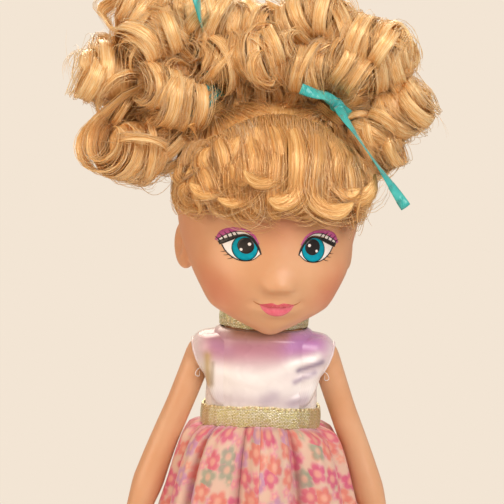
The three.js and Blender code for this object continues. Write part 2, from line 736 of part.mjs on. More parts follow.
// Armhole hem: the folded satin edge that stands out over the arm root, widest on top.
function makeArmholeHem(side) {
  const near = chestHalfWidth + clothOuter + fitGap;
  const radius = armRootRadius + fitGap + 0.2;
  const spot = (grow) => (u, v) => {
    const angle = THREE.MathUtils.degToRad(-78 + 156 * u);
    const reach = 0.8 + capReach * Math.cos(angle) ** 2 * 0.95;
    const r = radius + grow + 0.5 * (1 - v);
    return [side * (near + reach * v), r * Math.sin(angle), shoulderZ + r * Math.cos(angle)];
  };
  return sheet(12, 2, spot(clothThickness), spot(0), false);
}

// Skirt: ovals from the waist to the hem, with folds that deepen downward.
function skirtOval(t) {
  const swell = Math.sqrt(Math.max(t, 0));
  const half = waistHalfWidth + clothOuter + fitGap + bandThickness;
  const width = half + 0.8 + (hemHalfWidth - hemFold - half - 0.8) * (0.68 * swell + 0.32 * t);
  const depth = half * torsoDepthRatio + 0.8
    + (hemHalfDepth - hemFold - half * torsoDepthRatio - 0.8) * (0.7 * swell + 0.3 * t);
  return { width, depth, fold: 0.45 + (hemFold - 0.45) * swell };
}

const skirtTop = waistZ - fitGap;
const skirtLevels = [0, 0.07, 0.2, 0.45, 0.72, 1].map((t) => skirtTop - t * skirtLength);
const skirtColumns = skirtFolds * 4;
const skirtWave = (around) => Math.cos(skirtFolds * around + 0.7 * Math.sin(3 * around));

function makeSkirtOverlay() {
  const spot = (grow) => (u, v) => {
    const z = skirtLevels[Math.round(v * (skirtLevels.length - 1))];
    const { width, depth, fold } = skirtOval((skirtTop - z) / skirtLength);
    const around = 2 * Math.PI * u;
    const wave = fold * skirtWave(around) + grow;
    return [(width + wave) * Math.cos(around), (depth + wave) * Math.sin(around), z];
  };
  return sheet(skirtColumns, skirtLevels.length - 1, spot(0), spot(-skirtThickness), true);
}

// Lining: smooth where the bodice covers it, then it hangs in the overlay's folds, a little flatter.
function makeSkirtLining() {
  const covered = [bodiceBottom - fitGap, skirtTop];
  const hanging = [skirtLevels[2], skirtLevels[3], skirtLevels[5] + liningShort];
  const levels = [...covered, ...hanging];
  const rim = waistHalfWidth + clothOuter;
  const spot = (grow) => (u, v) => {
    const level = Math.round(v * (levels.length - 1));
    const z = levels[level];
    const { width, depth, fold } = skirtOval((skirtTop - z) / skirtLength);
    const around = 2 * Math.PI * u;
    const back = (1 - liningFollow) * fold + skirtThickness + liningClearance;
    const wave = liningFollow * fold * skirtWave(around) - back;
    const a = level < covered.length ? rim : width + wave;
    const b = level < covered.length ? rim * torsoDepthRatio : depth + wave;
    return [(a + grow) * Math.cos(around), (b + grow) * Math.sin(around), z];
  };
  return sheet(skirtColumns, levels.length - 1, spot(0), spot(-liningThickness), true);
}

// Assembly

const doll = new THREE.Group();

const body = new THREE.Group();
body.add(piece('torso_front', makeTorso(true), skin, 0.45));
body.add(piece('torso_back', makeTorso(false), skin, 0.45));
body.add(piece('neck_plug', makeNeckPlug(), 0xd8d2c8, 0.5));

const limbs = new THREE.Group();
limbs.add(piece('left_arm', makeArm(1), skin, 0.45));
limbs.add(piece('right_arm', makeArm(-1), skin, 0.45));
limbs.add(piece('left_leg', makeLeg(1), skin, 0.45));
limbs.add(piece('right_leg', makeLeg(-1), skin, 0.45));
limbs.add(piece('left_shoe', makeShoe(1), teal, 0.35));
limbs.add(piece('right_shoe', makeShoe(-1), teal, 0.35));

const head = new THREE.Group();
head.position.z = headFloor;
head.rotation.z = THREE.MathUtils.degToRad(headYaw);
head.add(piece('head_shell', makeHeadShell(), skin, 0.42));
head.add(piece('scalp_hair', makeScalpHair(), blonde, 0.5));
head.add(piece('fringe', makeFringe(), blonde, 0.5));

const grownHead = solid(geometryOf(
  headForm(scalpOuter + fitGap, 30, 18).add(
    headForm(fringeOuter + fitGap, 28, 18).intersect(block(-60, 60, -60, -partingForward + 1, browRise - 2, 90))),
).rotateZ(THREE.MathUtils.degToRad(headYaw)).translate(0, 0, headFloor));
const middle = (tieOf(-1).at.x + tieOf(1).at.x) / 2 - 9;
const bunches = new THREE.Group();
bunches.add(piece('right_pigtail', makePigtail(-1, rightCurls, rightBunchOut, bunchRadius, [
  grownHead, makeRibbon(-1, rightTails, fitGap), block(middle - 0.2, 90, -90, 90, 100, 300)]), blonde, 0.5));
bunches.add(piece('left_pigtail', makePigtail(1, leftCurls, leftBunchOut, leftBunchHalfWidth, [
  grownHead, makeRibbon(1, leftTails, fitGap), block(-90, middle + 0.2, -90, 90, 100, 300)]), blonde, 0.5));
bunches.add(piece('right_hair_elastic', makeElastic(-1), 0xb98a4e, 0.6));
bunches.add(piece('left_hair_elastic', makeElastic(1), 0xb98a4e, 0.6));
bunches.add(piece('right_ribbon', makeRibbon(-1, rightTails, 0), teal, 0.3));
bunches.add(piece('left_ribbon', makeRibbon(1, leftTails, 0), teal, 0.3));

const dress = new THREE.Group();
dress.add(piece('bodice_front', makeBodice('front'), white, 0.35));
dress.add(piece('bodice_back_left', makeBodice('left'), white, 0.35));
dress.add(piece('bodice_back_right', makeBodice('right'), white, 0.35));
dress.add(piece('left_armhole_hem', makeArmholeHem(1), white, 0.35));
dress.add(piece('right_armhole_hem', makeArmholeHem(-1), white, 0.35));
dress.add(piece('back_closure_tape', makeClosureTape(), 0xf2efe8, 0.8));
dress.add(piece('collar_band', makeCollar(), gold, 0.35, 0.7));
dress.add(piece('waistband', makeWaistband(), gold, 0.35, 0.7));
dress.add(piece('skirt_overlay', makeSkirtOverlay(), 0xe9b7b4, 0.6));
dress.add(piece('skirt_lining', makeSkirtLining(), 0xf1e2d0, 0.7));

doll.add(body, limbs, head, bunches, dress);

export default doll;
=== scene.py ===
import math
import bmesh
import bpy
import numpy as np
from mathutils import Matrix, Vector
from mathutils.bvhtree import BVHTree


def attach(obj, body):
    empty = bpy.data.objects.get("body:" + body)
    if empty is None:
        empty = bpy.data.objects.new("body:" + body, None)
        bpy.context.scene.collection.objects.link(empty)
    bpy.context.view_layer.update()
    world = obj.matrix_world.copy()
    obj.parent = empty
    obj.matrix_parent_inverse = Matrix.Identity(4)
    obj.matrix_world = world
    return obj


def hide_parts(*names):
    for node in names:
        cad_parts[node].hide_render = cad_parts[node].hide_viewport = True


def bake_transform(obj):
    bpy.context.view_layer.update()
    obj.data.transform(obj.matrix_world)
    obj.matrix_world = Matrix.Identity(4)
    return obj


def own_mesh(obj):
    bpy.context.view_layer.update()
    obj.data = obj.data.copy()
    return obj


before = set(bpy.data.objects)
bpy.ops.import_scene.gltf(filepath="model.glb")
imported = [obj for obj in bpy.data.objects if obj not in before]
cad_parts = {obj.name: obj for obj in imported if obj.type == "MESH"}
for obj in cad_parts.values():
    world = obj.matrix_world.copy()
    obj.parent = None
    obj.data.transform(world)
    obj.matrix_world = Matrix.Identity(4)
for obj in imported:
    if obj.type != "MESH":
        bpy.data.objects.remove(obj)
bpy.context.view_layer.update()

scene = bpy.context.scene
mm = 0.001
fullTurn = 6.28  # one turn in radians, near enough for random phases


def linear(code):
    parts = [int(code[i:i + 2], 16) / 255 for i in (1, 3, 5)]
    return [p / 12.92 if p <= 0.04045 else ((p + 0.055) / 1.055) ** 2.4 for p in parts] + [1.0]


def addNode(tree, kind, inputs=None, stops=None, **settings):
    node = tree.nodes.new("ShaderNode" + kind)
    for key, value in settings.items():
        setattr(node, key, value)
    if stops:  # colour ramp, as (place, hex)
        ramp = node.color_ramp
        while len(ramp.elements) < len(stops):
            ramp.elements.new(0.5)
        for element, (place, code) in zip(ramp.elements, stops):
            element.position = place
            element.color = linear(code)
    for key, value in (inputs or {}).items():
        if isinstance(value, bpy.types.NodeSocket):
            tree.links.new(value, node.inputs[key])
        else:
            node.inputs[key].default_value = value
    return node


def startMaterial(name, sockets):
    material = bpy.data.materials.new(name)
    material.use_nodes = True
    tree = material.node_tree
    shader = tree.nodes["Principled BSDF"]
    for key, value in sockets.items():
        shader.inputs[key].default_value = linear(value) if isinstance(value, str) else value
    return material, tree, shader


def objectSpot(tree):  # in metres
    return addNode(tree, "TexCoord").outputs["Object"]


def clothSpot(tree):  # on the flat cloth, in mm
    return addNode(tree, "UVMap", uv_map="cloth").outputs[0]


def noise(tree, where, scale, detail=2.0):
    return addNode(tree, "TexNoise", {"Vector": where, "Scale": scale, "Detail": detail}).outputs[0]


def sums(tree, operation, *values):
    return addNode(tree, "Math", dict(enumerate(values)), operation=operation).outputs[0]


def tinted(tree, level, stops):
    return addNode(tree, "ValToRGB", {0: level}, stops=stops).outputs["Color"]


def overlaid(tree, share, below, above, **settings):
    return addNode(tree, "Mix", {0: share, 6: below, 7: above}, data_type="RGBA", **settings).outputs[2]


def surface(tree, shader, colour, shine=None, relief=None):
    tree.links.new(colour, shader.inputs["Base Color"])
    if shine:  # a pattern, and the roughness at its two ends
        pattern, least, most = shine
        spread = addNode(tree, "MapRange", {0: pattern, 3: least, 4: most})
        tree.links.new(spread.outputs[0], shader.inputs["Roughness"])
    if relief:  # a pattern, its strength and its depth in metres
        pattern, strength, depth = relief
        bump = addNode(tree, "Bump", {"Height": pattern, "Strength": strength, "Distance": depth})
        tree.links.new(bump.outputs[0], shader.inputs["Normal"])


def linked(name, data):
    made = bpy.data.objects.new(name, data)
    scene.collection.objects.link(made)
    return made


def baked(bench, *others):  # the final mesh of a bench object, which is then cleared away
    bpy.context.view_layer.update()
    made = bpy.data.meshes.new_from_object(bench.evaluated_get(bpy.context.evaluated_depsgraph_get()))
    for gone in (bench, *others):
        bpy.data.objects.remove(gone)
    return made


def applied(mesh, *modifiers):
    bench = linked("bench", mesh)
    for kind, settings in modifiers:
        modifier = bench.modifiers.new(kind, kind)
        for key, value in settings.items():
            setattr(modifier, key, value)
    return baked(bench)


def thickened(mesh, thickness, *more):
    return applied(mesh, ("SOLIDIFY", {"thickness": thickness * mm, "offset": -1.0}), *more)


def meshFrom(bm):
    mesh = bpy.data.meshes.new("bench")
    bm.to_mesh(mesh)
    bm.free()
    return mesh


def joined(meshes):
    bm = bmesh.new()
    for mesh in meshes:
        bm.from_mesh(mesh)
    return meshFrom(bm)


def ball(detail, radius=1):
    bm = bmesh.new()
    bmesh.ops.create_icosphere(bm, subdivisions=detail, radius=radius)
    return bm


def sliced(bm, at, way):  # keeps what lies beyond the plane and closes the cut
    bmesh.ops.bisect_plane(bm, geom=bm.verts[:] + bm.edges[:] + bm.faces[:], plane_co=at, plane_no=way,
                           clear_inner=True)
    bmesh.ops.holes_fill(bm, edges=[e for e in bm.edges if e.is_boundary])
    return meshFrom(bm)


def treeOf(mesh):  # for casting rays at a mesh
    return BVHTree.FromPolygons([v.co for v in mesh.vertices], [p.vertices for p in mesh.polygons])


def ramp(at, pairs):  # value at a place, from (place, value) pairs
    return np.interp(at, *np.array(pairs).T)


def placePiece(name, mesh, material, body, slotName, *replaced):
    mesh.name = name
    mesh.materials.clear()
    mesh.materials.append(material)
    mesh.shade_smooth()
    piece = linked(name, mesh)
    if replaced:
        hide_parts(*replaced)
    if body:  # a blended piece rides on nothing
        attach(piece, body)
    return piece


def sheetMesh(columns, rows, place, size=(1, 1), closed=False, thickness=0.0, turnOver=False):
    bm = bmesh.new()
    uv = bm.loops.layers.uv.new("cloth")
    bmesh.ops.create_grid(bm, x_segments=columns, y_segments=rows, size=0.5, calc_uvs=True)
    spots = np.array([v.co[:2] for v in bm.verts]) + 0.5
    points = np.stack(np.broadcast_arrays(*place(spots[:, 0], spots[:, 1])), axis=1) * mm
    for vert, point in zip(bm.verts, points):
        vert.co = point
    for face in bm.faces:
        for loop in face.loops:
            loop[uv].uv = (loop[uv].uv.x * size[0], loop[uv].uv.y * size[1])  # UV in mm of flat cloth
    if closed:
        bmesh.ops.remove_doubles(bm, verts=bm.verts, dist=2e-6)
    if turnOver:
        bmesh.ops.reverse_faces(bm, faces=bm.faces)
    mesh = meshFrom(bm)
    return thickened(mesh, thickness) if thickness else mesh


def tubes(paths, radii, sides=3):
    ring = bpy.data.curves.new("section", "CURVE")
    loop = ring.splines.new("POLY")
    loop.points.add(sides - 1)
    for i, point in enumerate(loop.points):
        point.co = (math.cos(2 * math.pi * i / sides) * mm, math.sin(2 * math.pi * i / sides) * mm, 0, 1)
    loop.use_cyclic_u = True
    section = linked("section", ring)
    curve = bpy.data.curves.new("fibres", "CURVE")
    curve.dimensions = "3D"
    curve.bevel_mode = "OBJECT"
    curve.bevel_object = section
    curve.use_fill_caps = True
    for path, radius in zip(paths, radii):
        count = len(path)
        spline = curve.splines.new("POLY")
        spline.points.add(count - 1)
        spline.points.foreach_set("co", np.column_stack([np.asarray(path) * mm, np.ones(count)]).ravel())
        if np.ndim(radius) == 0:  # a fibre thins at both ends
            s = np.linspace(0, 1, count)
            radius = radius * np.interp(s, [0, 0.15, 0.75, 1], [0.8, 1, 1, 0.25])
        spline.points.foreach_set("radius", np.asarray(radius, float))
    return baked(linked("bench", curve), section)


def ballMesh(middle, half, turn=None, detail=4):
    bm = ball(detail, mm)
    bmesh.ops.scale(bm, vec=half, verts=bm.verts)
    if turn:
        bmesh.ops.rotate(bm, matrix=turn, verts=bm.verts)
    bmesh.ops.translate(bm, vec=Vector(middle) * mm, verts=bm.verts)
    return meshFrom(bm)


def moulded(meshes, voxel, smoothing):
    return applied(joined(meshes), ("REMESH", {"mode": "VOXEL", "voxel_size": voxel * mm}),
                   ("SMOOTH", {"factor": 0.5, "iterations": smoothing}))


def unit(v):
    v = np.asarray(v, float)
    return v / np.linalg.norm(v, axis=-1, keepdims=True)


def smoothLine(points, count):
    points = np.asarray(points, float)
    knots = np.concatenate([[0], np.cumsum(np.linalg.norm(np.diff(points, axis=0), axis=1))])
    at = np.linspace(0, knots[-1], count)
    slope = np.gradient(points, knots, axis=0)
    i = np.clip(np.searchsorted(knots, at, side="right") - 1, 0, len(knots) - 2)
    h = (knots[i + 1] - knots[i])[:, None]
    t = (at - knots[i])[:, None] / h
    return ((2 * t**3 - 3 * t**2 + 1) * points[i] + (t**3 - 2 * t**2 + t) * h * slope[i]
            + (-2 * t**3 + 3 * t**2) * points[i + 1] + (t**3 - t**2) * h * slope[i + 1])


# camera, light and floor
view = {"lens": 85, "sensor": 36, "near": 0.01, "distance": 357, "elevation": 6.0, "roll": 2.0,
        "aim": (-4.3, 0, 149.2)}

aim = Vector(view["aim"]) * mm
rise = math.radians(view["elevation"])
stand = aim + Vector((0, -math.cos(rise), math.sin(rise))) * view["distance"] * mm
cameraData = bpy.data.cameras.new("camera")
cameraData.lens = view["lens"]
cameraData.sensor_width = view["sensor"]
cameraData.clip_start = view["near"]
camera = linked("camera", cameraData)
camera.matrix_world = (Matrix.Translation(stand) @ (aim - stand).to_track_quat("-Z", "Y").to_matrix().to_4x4()
                       @ Matrix.Rotation(math.radians(view["roll"]), 4, "Z"))
scene.camera = camera
scene.view_settings.view_transform = "Standard"  # hex colours come out as they are written

studio = {
    # place, size, power, colour
    "softboxRight": ((0.38, -0.58, 0.50), 0.38, 3.5, "#FFF4F0"),
    "softboxLeft": ((-0.60, -0.35, 0.28), 0.40, 1.9, "#FFDFC4"),
    "softboxBack": ((-0.15, 0.55, 0.62), 0.45, 4.5, "#FFF4E2"),
    "spark": ((0.08, -0.46, 0.62), 0.09, 0.8, "#FFF8EE"),
    "lampAim": (0, 0, 0.15), "room": ("#FFF1E4", 0.37), "backdrop": ("#F3E5D4", 1.0), "floor": "#F7F1E8",
    "floorRadius": 0.2,
}

for lampName in ("softboxLeft", "softboxRight", "softboxBack", "spark"):
    place, size, power, colour = studio[lampName]
    lampData = bpy.data.lights.new(lampName, "AREA")
    lampData.size = size
    lampData.energy = power
    lampData.color = linear(colour)[:3]
    lamp = linked(lampName, lampData)
    lamp.location = place
    lamp.rotation_euler = (Vector(studio["lampAim"]) - Vector(place)).to_track_quat("-Z", "Y").to_euler()

room = bpy.data.worlds.new("room")
room.use_nodes = True
tree = room.node_tree
glow = tree.nodes["Background"]
glow.inputs["Color"].default_value = linear(studio["room"][0])
glow.inputs["Strength"].default_value = studio["room"][1]
paper = addNode(tree, "Background", {
    "Color": linear(studio["backdrop"][0]), "Strength": studio["backdrop"][1]})
seen = addNode(tree, "LightPath").outputs["Is Camera Ray"]  # plain bright paper behind the doll
mixed = addNode(tree, "MixShader", {0: seen, 1: glow.outputs[0], 2: paper.outputs[0]})
tree.links.new(mixed.outputs[0], tree.nodes["World Output"].inputs["Surface"])
scene.world = room

floorMaterial, tree, shader = startMaterial("matt_paper_floor", {
    "Base Color": studio["floor"], "Roughness": 0.9, "Specular IOR Level": 0.1})
bm = bmesh.new()
bmesh.ops.create_circle(bm, cap_ends=True, segments=96, radius=studio["floorRadius"])
floorMesh = meshFrom(bm)
floorMesh.materials.append(floorMaterial)
floor = linked("floor", floorMesh)
print("camera, light and floor")


# rotocast vinyl: soft semi-matt skin, light enters a little, blush sprayed on the cheeks, and a painted
# shadow of the fringe on the brow
def makeVinyl():
    material, tree, shader = startMaterial("rotocast_vinyl_skin", {
        "IOR": 1.47, "Subsurface Weight": 0.18, "Subsurface Scale": 0.0025,
        "Subsurface Radius": (1.0, 0.45, 0.28)})
    where = objectSpot(tree)
    mottle = noise(tree, where, 90.0, 3.0)  # 11 mm clouds
    colour = tinted(tree, mottle, [(0.3, "#DCA67A"), (0.7, "#E4B48A")])
    # spots of cheek blush, darker sides of the face, and painted shadow of the fringe on the brow
    for spot, reach, most, code in headForm["blush_and_shade"]:
        far = addNode(tree, "VectorMath", {0: where, 1: spot}, operation="DISTANCE").outputs["Value"]
        amount = addNode(tree, "MapRange", {0: far, 1: reach, 2: 0.001, 3: 0.0, 4: most},
                         interpolation_type="SMOOTHSTEP").outputs[0]
        colour = overlaid(tree, amount, colour, linear(code))
    grain = noise(tree, where, 2200.0)  # 0.45 mm mould grain
    surface(tree, shader, colour, (mottle, 0.36, 0.48), (grain, 0.05, 0.0001))
    return material


# moulded PVC limbs: a little shinier and evener than the head
def makeLimbPlastic(name, base, light, rough):
    material, tree, shader = startMaterial(name, {
        "IOR": 1.5, "Subsurface Weight": 0.12, "Subsurface Scale": 0.002,
        "Subsurface Radius": (1.0, 0.45, 0.28)})
    where = objectSpot(tree)
    mottle = noise(tree, where, 70.0, 3.0)  # 14 mm clouds
    grain = noise(tree, where, 1800.0)  # 0.55 mm mould grain
    colour = tinted(tree, mottle, [(0.3, base), (0.7, light)])
    surface(tree, shader, colour, (mottle, rough - 0.05, rough + 0.06), (grain, 0.04, 0.0001))
    return material


# saran fibre: shiny golden strands, each a little lighter or darker than the next
def makeFibre(name, stops):
    material, tree, shader = startMaterial(name, {
        "Roughness": 0.22, "IOR": 1.75, "Specular IOR Level": 1.0, "Specular Tint": "#FFDDA8",
        "Subsurface Weight": 0.35, "Subsurface Scale": 0.002, "Subsurface Radius": (1.0, 0.7, 0.4)})
    strand = addNode(tree, "NewGeometry").outputs["Random Per Island"]
    where = objectSpot(tree)
    drift = noise(tree, where, 110.0)  # 9 mm patches
    level = sums(tree, "MULTIPLY_ADD", drift, 0.5, sums(tree, "MULTIPLY_ADD", strand, 0.32, 0.06))
    surface(tree, shader, tinted(tree, level, stops))
    return material


# combed layer of the same fibre on the scalp, seen as fine parallel streaks
def makeUnderHair():
    material, tree, shader = startMaterial("saran_fibre_under", {"Roughness": 0.45, "IOR": 1.6})
    where = objectSpot(tree)
    squeezed = addNode(tree, "Mapping", {"Vector": where, "Scale": (1.0, 0.25, 0.25)}).outputs[0]
    streak = noise(tree, squeezed, 1500.0, 4.0)  # 0.7 mm streaks
    colour = tinted(tree, streak, [(0.25, "#C88E4C"), (0.5, "#E8B670"), (0.75, "#FBD8A0")])
    surface(tree, shader, colour, relief=(streak, 0.5, 0.0004))
    return material


# inside of a lock: packed fibres, streaked along their length
def makeCombed(name, stops):
    material, tree, shader = startMaterial(name, {
        "IOR": 1.75, "Specular IOR Level": 1.0, "Specular Tint": "#FFDDA8"})
    cloth = clothSpot(tree)
    drawn = addNode(tree, "Mapping", {"Vector": cloth, "Scale": (0.05, 1.0, 1.0)}).outputs[0]
    streak = noise(tree, drawn, 3.0, 4.0)  # 0.3 mm fibres
    clump = noise(tree, drawn, 0.7)  # 1.4 mm clumps
    colour = tinted(tree, sums(tree, "MULTIPLY_ADD", clump, 0.6, streak), stops)
    surface(tree, shader, colour, (streak, 0.18, 0.36), (streak, 0.7, 0.0003))
    return material


# satin: long floats give a soft sheen across fine slanted threads
def makeSatin(name, base, light, threadMm, rough, painted_light=False):
    material, tree, shader = startMaterial(name, {
        "IOR": 1.5, "Sheen Weight": 0.25, "Sheen Roughness": 0.4, "Anisotropic": 0.4})
    cloth = clothSpot(tree)
    turn = addNode(tree, "Mapping", {"Vector": cloth, "Rotation": (0, 0, 0.6)}).outputs[0]
    thread = addNode(tree, "TexWave", {
        "Vector": turn, "Scale": 0.314 / threadMm, "Distortion": 0.6, "Detail": 1.0,
        "Detail Scale": 2.0}).outputs["Fac"]  # a wave of scale 1 repeats every 0.314 mm
    cloud = noise(tree, cloth, 0.16)  # 6 mm patches of painted sheen, also in the roughness
    level = sums(tree, "MULTIPLY_ADD", thread, 0.3, cloud)
    # the lighter colour on the thread floats and in the patches is painted sheen
    colour = tinted(tree, level, [(0.35, base), (0.9, light)])
    if painted_light:  # painted reflections, highlights and shade, multiplied into the cloth's colour
        thrown = addNode(tree, "Attribute", attribute_name="painted_light").outputs["Color"]
        colour = overlaid(tree, 1.0, colour, thrown, blend_type="MULTIPLY")
    surface(tree, shader, colour, (cloud, rough - 0.08, rough + 0.1), (level, 0.25, 0.0001))
    return material


# woven lame trim: flat metal yarn over thread, glinting floats and dark gaps
def makeLame(name, stitchAt):
    material, tree, shader = startMaterial(name, {"Metallic": 0.85})
    cloth = clothSpot(tree)
    weave = addNode(tree, "TexBrick", {
        "Vector": cloth, "Scale": 1.0, "Mortar Size": 0.09, "Mortar Smooth": 0.6, "Brick Width": 0.9,
        "Row Height": 0.45, "Color1": (1, 1, 1, 1), "Color2": (0.45, 0.45, 0.45, 1),
        "Mortar": (0, 0, 0, 1)}).outputs["Color"]  # 0.9 mm floats
    glint = noise(tree, cloth, 2.2, 3.0)  # 0.5 mm glints
    level = sums(tree, "MULTIPLY_ADD", weave, 0.62, glint)
    yarn = tinted(tree, level, [(0.3, "#9C954E"), (0.6, "#DDD58C"), (0.92, "#FAF5CA"), (1.0, "#FFFCE6")])
    height = addNode(tree, "SeparateXYZ", {0: cloth}).outputs["Y"]
    near = sums(tree, "ABSOLUTE", sums(tree, "SUBTRACT", height, stitchAt))
    row = addNode(tree, "MapRange", {0: near, 1: 0.55, 2: 0.25, 3: 0.0, 4: 1.0}).outputs[0]
    beat = addNode(tree, "TexWave", {"Vector": cloth, "Scale": 0.2, "Distortion": 0.2})  # 1.6 mm stitches
    stitched = sums(tree, "MULTIPLY", row, beat.outputs["Fac"])
    raised = sums(tree, "MULTIPLY_ADD", stitched, 0.8, level)
    colour = overlaid(tree, stitched, yarn, linear("#FFF0C0"))
    surface(tree, shader, colour, (glint, 0.22, 0.5), (raised, 0.8, 0.0004))
    return material


# printed organza: sheer crisp cloth, small flowers scattered in pinks, coral and grey green
def makeOrganza():
    material, tree, shader = startMaterial("printed_organza", {
        "Roughness": 0.5, "IOR": 1.5, "Sheen Weight": 0.7, "Sheen Roughness": 0.45, "Sheen Tint": "#E9BFD6"})
    cloth = clothSpot(tree)
    colour = linear(organza["ground"])
    cover = 0.0
    for cell, size, petals, shift, stops in organza["flowers"]:
        moved = addNode(tree, "Mapping", {"Vector": cloth, "Location": (shift, shift * 0.7, 0)}).outputs[0]
        spots = addNode(tree, "TexVoronoi", {"Vector": moved, "Scale": 1.0 / cell, "Randomness": 0.72},
                        voronoi_dimensions="2D")
        middle = spots.outputs["Position"]  # of the nearest flower, in mm
        local = addNode(tree, "VectorMath", {0: moved, 1: middle}, operation="SUBTRACT").outputs[0]
        way = addNode(tree, "SeparateXYZ", {0: local})
        chance = addNode(tree, "SeparateColor", {0: spots.outputs["Color"]})
        angle = sums(tree, "ARCTAN2", way.outputs["Y"], way.outputs["X"])
        turned = sums(tree, "MULTIPLY_ADD", chance.outputs[1], fullTurn, angle)
        wave = sums(tree, "COSINE", sums(tree, "MULTIPLY", turned, petals / 2))
        reach = sums(tree, "MULTIPLY_ADD", sums(tree, "ABSOLUTE", wave), 0.17 * size, 0.34 * size)
        far = addNode(tree, "VectorMath", {0: local}, operation="LENGTH").outputs["Value"]
        inside = sums(tree, "SUBTRACT", reach, far)  # round petals
        mask = addNode(tree, "MapRange", {0: inside, 1: -0.6, 2: 0.7, 3: 0.0, 4: 0.85}).outputs[0]
        tint = addNode(tree, "ValToRGB", {0: chance.outputs[0]}, stops=stops)
        tint.color_ramp.interpolation = "CONSTANT"
        eye = addNode(tree, "MapRange", {0: far, 1: 0.24 * size, 2: 0.1 * size, 3: 0.0, 4: 0.7}).outputs[0]
        petal = overlaid(tree, eye, tint.outputs["Color"], linear("#F0B59A"))
        colour = overlaid(tree, mask, colour, petal)
        cover = sums(tree, "MAXIMUM", cover, mask)
    crease = addNode(tree, "Attribute", attribute_name="crease").outputs["Fac"]
    deep = sums(tree, "MULTIPLY", crease, organza["creaseShadeDepth"])
    colour = overlaid(tree, deep, colour, linear(organza["creaseShadeTint"]))  # painted shade in the creases, partly also the deeper colour of sheer cloth lying doubled
    sheer = addNode(tree, "MapRange", {0: cover, 3: organza["sheer"][0], 4: organza["sheer"][1]})
    tree.links.new(sheer.outputs[0], shader.inputs["Alpha"])
    thread = addNode(tree, "TexChecker", {"Vector": cloth, "Scale": 2.5})  # 0.4 mm threads, coarser than real
    surface(tree, shader, colour, relief=(thread.outputs["Fac"], 0.12, 0.0001))
    return material


# plain woven cloth: soft and matt, with a fine even weave
def makeWeave(name, base, light, threadMm, sheen):
    material, tree, shader = startMaterial(name, {"Roughness": 0.8, "Sheen Weight": sheen, "IOR": 1.5})
    cloth = clothSpot(tree)
    thread = addNode(tree, "TexChecker", {"Vector": cloth, "Scale": 1.0 / threadMm}).outputs["Fac"]
    cloud = noise(tree, cloth, 0.2, 3.0)  # 5 mm clouds
    colour = tinted(tree, sums(tree, "MULTIPLY_ADD", thread, 0.2, cloud), [(0.3, base), (0.8, light)])
    surface(tree, shader, colour, relief=(thread, 0.3, 0.0001))
    return material


# pad-printed ink: a thin film with faint unevenness, glossy on lips and eye lines
def makeInk(name, dark, light, rough=0.3):
    material, tree, shader = startMaterial(name, {
        "IOR": 1.5, "Specular IOR Level": 0.15 if rough > 0.35 else 0.5})  # matt inks throw back less
    where = objectSpot(tree)
    film = noise(tree, where, 900.0)  # 1.1 mm
    colour = tinted(tree, film, [(0.3, dark), (0.7, light)])
    surface(tree, shader, colour, (film, rough - 0.05, rough + 0.08))
    return material


headForm = {
    "floor": 134.2, "yaw": 7.0, "centre": (0, -3, 24.4),
    "skull": ((0, 0, 29.4), (27, 28.5, 31)), "face": ((0, -9, 13.6), (22.5, 20, 21.5)),
    # (amount, side, half width, height, half height), all in mm on the face
    "bumps": [
        (2.6, 0, 3.7, 9.7, 2.6), (0.15, 0, 3.2, 13.9, 5), (0.8, 3.3, 1.6, 8.9, 1.6),
        (1.0, 0, 5.5, 2.6, 2.2), (0.55, 1.6, 2.2, 3.7, 0.7), (0.9, 0, 3.6, 1.2, 1.2),
        (-0.75, 0, 4.8, 2.65, 0.42), (-0.6, 6.8, 1.6, 3.6, 1.0), (-0.5, 0, 3.5, -1.3, 0.9),
        (1.0, 0, 6, -3.6, 3), (0.9, 13, 6, 8.5, 6), (-0.9, 11.0, 6, 19.5, 4.5),
    ],
    "jaw": (14, 0.06, 1.0, 0.3), "earRise": 16.6, "earHalf": (3.2, 5.0, 7.2), "neckHole": 13.7,
    "voxel": 0.47,
    "blush_and_shade": [],
}
yaw = Matrix.Rotation(math.radians(headForm["yaw"]), 4, "Z")
headPlace = Matrix.Translation((0, 0, headForm["floor"] * mm)) @ yaw
for x, y, z, reach, most, code in ((16.5, -20, 5.5, 0.014, 0.55, "#DB7658"),
                                   (24, -8, 16, 0.02, 0.5, "#D5855A"),
                                   (0, -31, 31, 0.017, 0.5, "#C67E58")):
    for side in (-1, 1):  # cheek blush, the side of the face darker and warmer toward its edge, painted shadow of the fringe on the brow
        headForm["blush_and_shade"].append((headPlace @ (Vector((side * x, y, z)) * mm), reach, most, code))

organza = {
    # the fold tint and its depth give painted shade in the skirt's creases
    "ground": "#F8D6C0", "sheer": (0.66, 0.94), "creaseShadeTint": "#B2596A", "creaseShadeDepth": 0.6,
    # (cell in mm, flower size in mm, petals, shift, colours)
    "flowers": [
        (4.4, 3.3, 5, 17.0, [(0, "#E48DA0"), (0.35, "#E79A84"), (0.6, "#D98BA4"), (0.85, "#B4AE96")]),
        (6.3, 6.3, 5, 3.0, [(0, "#D4507F"), (0.3, "#E0786A"), (0.52, "#C48FB4"), (0.66, "#98A18A"),
                            (0.8, "#DA5F78")]),
    ],
}

vinyl = makeVinyl()
armPlastic = makeLimbPlastic("moulded_pvc_limb", "#D8A278", "#E1B18A", 0.36)
torsoPlastic = makeLimbPlastic("moulded_abs_torso", "#DD9C73", "#E5AA82", 0.42)
plugPlastic = makeLimbPlastic("moulded_nylon_plug", "#D8D0C2", "#E4DDD0", 0.5)
shoePlastic = makeLimbPlastic("glossy_pvc_shoe", "#17979F", "#23AEB2", 0.24)
